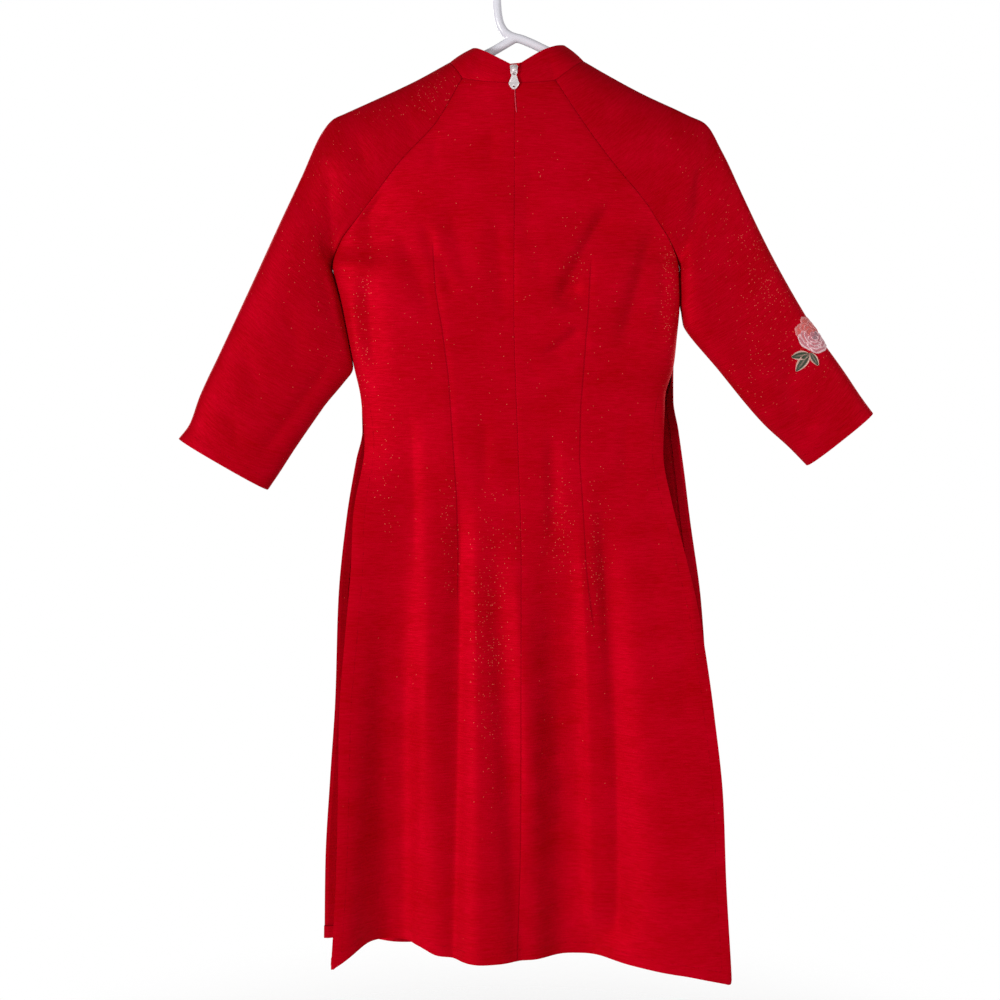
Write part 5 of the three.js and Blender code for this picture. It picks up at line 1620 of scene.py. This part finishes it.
# %% Places on the sleeve for the rose
ROSE = {"station": 9.1, "station_length": 61.0, "from_ridge": 15.0, "first": 8.2, "last": 10.1}


def rose_map():
    """For rows of stations: the cloth's length from the ridge at each place, towards the back and the front."""
    stations = np.linspace(ROSE["first"], ROSE["last"], 120)
    places = crowded(400)
    runs = {}
    for half, sign in (("back", -1), ("front", 1)):
        signed = np.where(places == 0, 1e-9, places) * sign
        points = sleeve_point("right", stations[:, None], signed[None, :])
        step = np.linalg.norm(np.diff(points, axis=1), axis=2)
        runs[half] = np.concatenate([np.zeros((len(points), 1)), np.cumsum(step, axis=1)], axis=1)
    return stations, places, runs


ROSE_STATIONS, ROSE_PLACES, ROSE_RUNS = rose_map()


def rose_place(station, round_way):
    """Place across the sleeve that lies so far round from the ridge."""
    row = np.clip(np.searchsorted(ROSE_STATIONS, station), 1, len(ROSE_STATIONS) - 1)
    half, sign = ("back", -1) if round_way >= 0 else ("front", 1)
    share = (station - ROSE_STATIONS[row - 1]) / (ROSE_STATIONS[row] - ROSE_STATIONS[row - 1])
    run = mix(ROSE_RUNS[half][row - 1], ROSE_RUNS[half][row], share)
    return sign * max(1e-6, float(np.interp(abs(round_way), run, ROSE_PLACES)))


def rose_spots(along, round_way, out):
    """Points on the sleeve, `along` it and `round` it from the rose's heart, raised `out` from the cloth."""
    along, round_way, out = np.broadcast_arrays(along, round_way, out)
    station = ROSE["station"] + along / ROSE["station_length"]
    round_way = ROSE["from_ridge"] + round_way
    place = np.vectorize(rose_place)(station, round_way)
    middle = sleeve_point("right", station, place)
    ahead = sleeve_point("right", station + 0.02, place) - sleeve_point("right", station - 0.02, place)
    side = np.where(place < 0, -1, 1)
    inner = np.clip(np.abs(place) - 0.004, 1e-6, 1) * side
    outer = np.clip(np.abs(place) + 0.004, 1e-6, 1) * side
    across = sleeve_point("right", station, outer) - sleeve_point("right", station, inner)
    normal = np.cross(ahead, across)
    normal /= np.linalg.norm(normal, axis=-1, keepdims=True) + 1e-12
    core = sleeve_point("right", station, 0.5 * side) * np.array([1, 0, 1])
    outward = np.sign(np.einsum("...k,...k", normal, middle - core))
    normal *= np.where(outward == 0, 1, outward)[..., None]
    crease = crease_height("sleeve_right_back", middle[..., 0], middle[..., 2])
    crease *= smooth(2, 16, np.abs(round_way)) * (place < 0)
    return middle + normal * (out + crease)[..., None]


print("rose heart at", np.round(rose_spots(0.0, 0.0, 0.0), 1))

# %% Thread materials
PETAL_MAUVE = (0.66, 0.20, 0.25, 1)
PETAL_CORAL = (0.80, 0.105, 0.09, 1)
PETAL_PALE = (1.0, 0.62, 0.66, 1)
HEART_SHADE = (0.42, 0.20, 0.24, 1)


def thread_material(name, deep, warm, pale, roughness=0.5):
    """Satin stitch in three threads: `warm` and `tone` attributes pick between them."""
    made, nodes, links, shader = new_material(name)
    tree = made.node_tree
    stitch = placed_group(tree, SATIN_STITCH)
    links.new(node(nodes, "ShaderNodeUVMap", uv_map="weave").outputs[0], stitch.inputs["Vector"])
    body = blended(tree, attribute(tree, "warm"), deep, warm)
    body = blended(tree, attribute(tree, "tone"), body, pale)
    shade = ranged(tree, stitch.outputs["Shade"], 0.3, 0.7, 0.88, 1.0)
    # Painted shade: the base colour is darker between the laid threads, where the grooves of the bump lie.
    ribs = ranged(tree, stitch.outputs["Thread"], 0.0, 0.5, 0.90, 1.0)
    dimmed = node(nodes, "ShaderNodeMix", data_type="RGBA", blend_type="MULTIPLY", inputs={"Factor": 1.0})
    grey = node(nodes, "ShaderNodeCombineColor")
    amount = maths(tree, "MULTIPLY", shade, ribs)
    for channel in range(3):
        links.new(amount, grey.inputs[channel])
    links.new(body, dimmed.inputs[6])
    links.new(grey.outputs[0], dimmed.inputs[7])
    links.new(dimmed.outputs[2], shader.inputs["Base Color"])
    shader.inputs["Roughness"].default_value = roughness
    shader.inputs["Specular IOR Level"].default_value = 0.6
    shader.inputs["Sheen Weight"].default_value = 0.35
    bump = node(nodes, "ShaderNodeBump", inputs={"Strength": 0.6, "Distance": 0.0003})
    links.new(stitch.outputs["Thread"], bump.inputs["Height"])
    links.new(bump.outputs[0], shader.inputs["Normal"])
    return made


PETAL_THREAD = thread_material("petal_thread", PETAL_MAUVE, PETAL_CORAL, PETAL_PALE)
HEART_THREAD = thread_material("heart_thread", HEART_SHADE, PETAL_MAUVE, PETAL_PALE)
LEAF_THREAD = thread_material("leaf_thread", (0.010, 0.032, 0.007, 1), (0.035, 0.060, 0.018, 1), (0.85, 0.50, 0.42, 1))

# %% [markdown]
# Each petal is a small grid in flower sizes: one way runs from its foot to its rim, the other across it. Its
# rim waves a little, its edge is a raised cord, and small ribs radiate from its foot. The grid is then laid
# on the sleeve. The same function makes leaves, which are petals with two pointed ends.

# %% Petals and leaves
PETAL_ROWS, PETAL_COLUMNS = 22, 20
RIM_CORD = 0.6
CLOTH_GAP = 0.55


def pad(centre, direction, length, width, lift, seed, pointed=False, warm=0.0, curl=0.0):
    """One stitched pad; returns its points, map, tone and warmth as grids."""
    draw = np.random.default_rng(seed)
    t = np.linspace(0, 1, PETAL_ROWS + 1)[:, None]
    s = np.linspace(-1, 1, PETAL_COLUMNS + 1)[None, :]
    if pointed:
        half = width / 2 * np.sin(np.pi * t**0.85) ** 0.8 + 0.25
        reach = length * t + 0 * s
    else:
        half = width / 2 * (0.42 + 0.58 * np.sin(np.pi * t**0.75 * 0.78) ** 0.8)
        scallop = 1 - 0.20 * s**2 + 0.03 * np.cos(s * draw.uniform(4, 6) + draw.uniform(0, 6))
        reach = length * t * mix(1, scallop, t)
    across = s * half + curl * np.sin(np.pi * t) * width * 0.12
    c, d = math.cos(direction), math.sin(direction)
    along = centre[0] + reach * c - across * d
    round_way = centre[1] + reach * d + across * c
    rim = np.maximum(np.abs(s) + 0 * t, t**1.5 if not pointed else 0 * t + np.abs(s))
    edge = smooth(0.60, 0.74, rim) if pointed else smooth(0.70, 0.80, rim)
    ribs = 0.10 * np.cos(s * 11 + draw.uniform(0, 6)) * (1 - edge) * smooth(0, 0.3, t)
    dome = 0.35 * (1 - rim**2)
    cord = RIM_CORD * np.exp(-(((rim - 0.90) / 0.08) ** 2))
    end = 0.55 * smooth(0.93, 1.0, rim)
    vein = 0.0
    tone = edge * (1 - 0.72 * warm)
    if pointed:
        vein = 0.25 * np.exp(-((s / 0.10) ** 2)) * smooth(0.95, 0.7, t)
        tone = np.maximum(edge, 0.35 * np.exp(-((s / 0.12) ** 2)) * smooth(0.9, 0.6, t))
    out = lift + dome + ribs + cord + vein - end
    weave = np.stack([s * half + seed * 31.0, reach + 0 * s], axis=-1)
    warmth = np.clip(warm + 0.15 * np.cos(s * 6 + seed), 0, 1) + 0 * t
    return along, round_way, out, weave, tone * np.ones_like(warmth), warmth


def stitched_piece(name, pads, material, node_name):
    """Joins pads into one piece laid on the sleeve."""
    vertices, faces, maps, tones, warmths = [], [], [], [], []
    for along, round_way, out, weave, tone, warmth in pads:
        rows, columns = along.shape
        start = sum(len(v) for v in vertices)
        upper = rose_spots(along, round_way, out)
        lower = rose_spots(along, round_way, np.full(along.shape, 0.15))
        index = np.arange(rows * columns).reshape(rows, columns) + start
        quads = np.stack([index[:-1, :-1], index[1:, :-1], index[1:, 1:], index[:-1, 1:]], axis=-1).reshape(-1, 4)
        flip = np.cross(upper[10, 10] - upper[9, 10], upper[9, 11] - upper[9, 10]) @ (upper[9, 10] - lower[9, 10]) < 0
        rim = np.concatenate([index[0], index[1:, -1], index[-1, -2::-1], index[-2:0:-1, 0]])
        rim_next = np.roll(rim, -1)
        wall = np.stack([rim, rim_next, rim_next + rows * columns, rim + rows * columns], axis=-1)
        both = [quads, quads[:, ::-1] + rows * columns, wall]
        if flip:
            both = [group[:, ::-1] for group in both]
        faces += [face for group in both for face in group.tolist()]
        for grid in (upper, lower):
            vertices.append(grid.reshape(-1, 3))
            maps.append(weave.reshape(-1, 2))
            tones.append(tone.ravel())
            warmths.append(warmth.ravel())
    mesh = bpy.data.meshes.new(name)
    mesh.from_pydata((np.concatenate(vertices) * MM).tolist(), [], faces)
    loops = np.empty(len(mesh.loops), np.int32)
    mesh.loops.foreach_get("vertex_index", loops)
    layer = mesh.uv_layers.new(name="weave")
    layer.data.foreach_set("uv", (np.concatenate(maps)[loops] * MM).astype(np.float32).ravel())
    for label, values in (("tone", tones), ("warm", warmths)):
        attribute_layer = mesh.attributes.new(label, "FLOAT", "POINT")
        attribute_layer.data.foreach_set("value", np.concatenate(values).astype(np.float32))
    piece = bpy.data.objects.new(name, mesh)
    scene.collection.objects.link(piece)
    mesh.materials.append(material)
    select_only(piece)
    bpy.ops.object.mode_set(mode="EDIT")
    bpy.ops.mesh.select_all(action="SELECT")
    bpy.ops.mesh.normals_make_consistent(inside=False)
    bpy.ops.object.mode_set(mode="OBJECT")
    bpy.ops.object.shade_smooth_by_angle(angle=math.radians(70))
    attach(piece, GARMENT)
    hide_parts(node_name)
    print(name, "has", len(pads), "pads and", len(mesh.polygons), "faces")


SQUEEZE = 0.84  # the rose is narrower round the sleeve than along it


def petal_ring(count, foot, length, width, lift, seed, turn=0.0):
    """Petals round the heart; those nearer the neck are coral, and those nearer the cuff are mauve."""
    pads = []
    for k in range(count):
        angle = turn + 2 * math.pi * k / count + 0.12 * math.sin(k * 2.4 + seed)
        centre = (foot * math.cos(angle), foot * math.sin(angle) * SQUEEZE)
        warm = float(smooth(0.1, -0.5, math.cos(angle)))
        reach = length * mix(1, SQUEEZE, abs(math.sin(angle))) * (1 + 0.06 * math.sin(k * 1.7 + seed))
        step = 0.12 * (k % 2)
        pads.append(pad(centre, angle, reach, width * (1 - 0.28 * warm), lift + step, seed + k, warm=warm, curl=0.6))
    return pads


RINGS = {
    # piece: rows of count, foot, length, width, lift, seed, turn
    "rose_outer_petals": [(6, 8.0, 14.5, 21.0, 0.0, 11, 0.2), (6, 6.0, 12.2, 17.0, 0.6, 17, 0.6)],
    "rose_inner_petals": [(5, 3.0, 11.0, 14.5, 1.2, 29, 0.3), (4, 1.5, 9.0, 12.0, 1.8, 37, 0.9)],
    "rose_heart": [(3, 0.3, 6.0, 8.0, 2.4, 47, 0.3)],
}
for label, rings in RINGS.items():
    pads = []
    for count, foot, length, width, lift, seed, turn in rings:
        pads += petal_ring(count, foot, length, width, CLOTH_GAP + lift, seed, turn)
    heart = label == "rose_heart"
    stitched_piece(label, pads, HEART_THREAD if heart else PETAL_THREAD, label)

LEAVES = [
    # name, foot, tip, width
    ("rose_leaf_upper", (15.6, 16.8), (10, 35.5), 10.4),
    ("rose_leaf_middle", (15, 16.5), (25.7, 40), 10.2),
    ("rose_leaf_lower", (15.2, 14.8), (31.6, 16), 8),
]
for k, (label, foot, tip, width) in enumerate(LEAVES):
    way = (tip[0] - foot[0], tip[1] - foot[1])
    blade = pad(foot, math.atan2(way[1], way[0]), math.hypot(*way), width, CLOTH_GAP, 61 + k, pointed=True, warm=0.4)
    stitched_piece(label, [blade], LEAF_THREAD, label)

# %% [markdown]
# ## The hanger
# The hanger is one plastic moulding: a round rod that forms the hook, runs down into the right arm, along
# the bar and back up the left arm. Here one ring of points is extruded and turned along that path. Where
# the left arm meets the neck of the hook the rods only cross, so a remesh at about 1 mm makes them one skin,
# and smoothing rounds the joint, as the mould does.

# %% Hanger
ROD_RADIUS = 5.0
HOOK_RADIUS = 24.0
HOOK_CENTRE_Z = ROD_RADIUS - HOOK_RADIUS
HOOK_TIP_ANGLE = 215
HANGER_PATH = {
    "shaft": table("x z", (24, -32), (23.5, -50), (22.4, -72), (19.6, -85), (14, -94), (5, -99), (-4, -101.2)),
    "right_arm": table(
        "x z", (-10, -103.6), (-17.1, -106.5), (-24.9, -110.2), (-34.9, -114.8), (-50, -122), (-71, -133),
        (-102, -150), (-139, -169.5), (-170, -184.5), (-190, -195), (-202, -208), (-200, -224), (-190, -231),
    ),
    "bar": table("x z", (-182, -231), (-60, -231), (60, -231), (185, -231)),
    "left_arm": table(
        "x z", (193, -231), (204, -225), (208.5, -210), (201, -196), (186, -187.3), (153, -172.8), (111, -153.7),
        (73, -134), (50, -124.5), (28.5, -114.7), (17.4, -108.5), (8, -103), (3, -100),
    ),
}
PATH_STEP = 4.5
ROD_SIDES = 20
ROUNDED_END = [(1.2, 0.86), (1.0, 0.60), (0.5, 0.3)]  # steps ahead and sizes


def hanger_points():
    turns = np.radians(np.linspace(HOOK_TIP_ANGLE, 0, 16))
    x = [HOOK_RADIUS * np.cos(turns)] + [rows["x"] for rows in HANGER_PATH.values()]
    z = [HOOK_CENTRE_Z + HOOK_RADIUS * np.sin(turns)] + [rows["z"] for rows in HANGER_PATH.values()]
    return through_points(np.concatenate(x), np.concatenate(z))


def through_points(x, z):
    """A smooth line through points (centripetal Catmull-Rom), resampled at even steps."""
    p = np.stack([x, z], axis=-1)
    p = np.concatenate([[2 * p[0] - p[1]], p, [2 * p[-1] - p[-2]]])
    made = []
    for a, b, c, d in zip(p, p[1:], p[2:], p[3:]):
        t1 = math.dist(a, b) ** 0.5
        t2 = t1 + math.dist(b, c) ** 0.5
        t3 = t2 + math.dist(c, d) ** 0.5
        t = np.linspace(t1, t2, 30, endpoint=False)[:, None]
        ab, bc = (t1 - t) / t1 * a + t / t1 * b, (t2 - t) / (t2 - t1) * b + (t - t1) / (t2 - t1) * c
        cd = (t3 - t) / (t3 - t2) * c + (t - t2) / (t3 - t2) * d
        ac, bd = (t2 - t) / t2 * ab + t / t2 * bc, (t3 - t) / (t3 - t1) * bc + (t - t1) / (t3 - t1) * cd
        made.append((t2 - t) / (t2 - t1) * ac + (t - t1) / (t2 - t1) * bd)
    line = np.concatenate(made + [p[-2][None]])
    run = np.concatenate([[0], np.cumsum(np.linalg.norm(np.diff(line, axis=0), axis=1))])
    even = np.linspace(0, run[-1], round(run[-1] / PATH_STEP) + 1)
    return np.stack([np.interp(even, run, line[:, k]) for k in range(2)], axis=-1)


def plastic_material():
    made, nodes, links, shader = new_material("hanger_plastic")
    tree = made.node_tree
    place = node(nodes, "ShaderNodeTexCoord").outputs["Object"]
    cloud = stretched_noise(tree, place, (9, 9), 2.0)
    links.new(blended(tree, cloud, (0.80, 0.79, 0.87, 1), (0.88, 0.87, 0.93, 1)), shader.inputs["Base Color"])
    links.new(ranged(tree, stretched_noise(tree, place, (60, 60)), 0.3, 0.7, 0.22, 0.34), shader.inputs["Roughness"])
    bump = node(nodes, "ShaderNodeBump", inputs={"Strength": 0.12, "Distance": 0.0004})
    links.new(stretched_noise(tree, place, (170, 170)), bump.inputs["Height"])
    links.new(bump.outputs[0], shader.inputs["Normal"])
    return made


def hanger(name):
    path = hanger_points() * MM
    heading = np.unwrap(np.arctan2(*np.gradient(path, axis=0).T[::-1]))
    bpy.ops.object.select_all(action="DESELECT")
    bpy.ops.mesh.primitive_circle_add(
        vertices=ROD_SIDES, radius=ROD_RADIUS * MM, fill_type="NGON", location=(path[0, 0], 0, path[0, 1]),
        rotation=(0, math.pi / 2 - heading[0], 0),
    )
    piece = bpy.context.object
    piece.name = name
    bake_place(piece)
    bpy.ops.object.mode_set(mode="EDIT")
    bpy.ops.mesh.select_all(action="SELECT")
    for k in range(1, len(path)):
        step = path[k] - path[k - 1]
        bpy.ops.mesh.extrude_region_move(TRANSFORM_OT_translate={"value": (step[0], 0, step[1])})
        bpy.ops.transform.rotate(
            value=heading[k] - heading[k - 1], orient_axis="Y", center_override=(path[k, 0], 0, path[k, 1])
        )
    bpy.ops.object.mode_set(mode="OBJECT")
    tip = Vector((path[0, 0], 0, path[0, 1]))
    backwards = -Vector((math.cos(heading[0]), 0, math.sin(heading[0])))
    pick(piece, lambda place, part: (place - tip).length < 1 * MM, "faces")
    reach = tip
    size = 1.0
    for ahead, share in ROUNDED_END:
        reach = reach + backwards * ahead * ROD_RADIUS / 4 * MM
        bpy.ops.mesh.extrude_region_move(TRANSFORM_OT_translate={"value": backwards * ahead * ROD_RADIUS / 4 * MM})
        bpy.ops.transform.resize(value=(share / size,) * 3, center_override=reach)
        size = share
    bpy.ops.mesh.select_all(action="SELECT")
    bpy.ops.mesh.normals_make_consistent(inside=False)
    bpy.ops.object.mode_set(mode="OBJECT")
    apply_modifier(piece, "REMESH", mode="VOXEL", voxel_size=1.2 * MM)
    apply_modifier(piece, "SMOOTH", factor=0.5, iterations=6)
    bpy.ops.object.shade_smooth()
    piece.data.materials.clear()
    piece.data.materials.append(plastic_material())
    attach(piece, GARMENT)
    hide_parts("hanger_hook", "hanger_arm_left", "hanger_arm_right", "hanger_bar")
    print("hanger has", len(piece.data.polygons), "faces")


hanger("hanger")
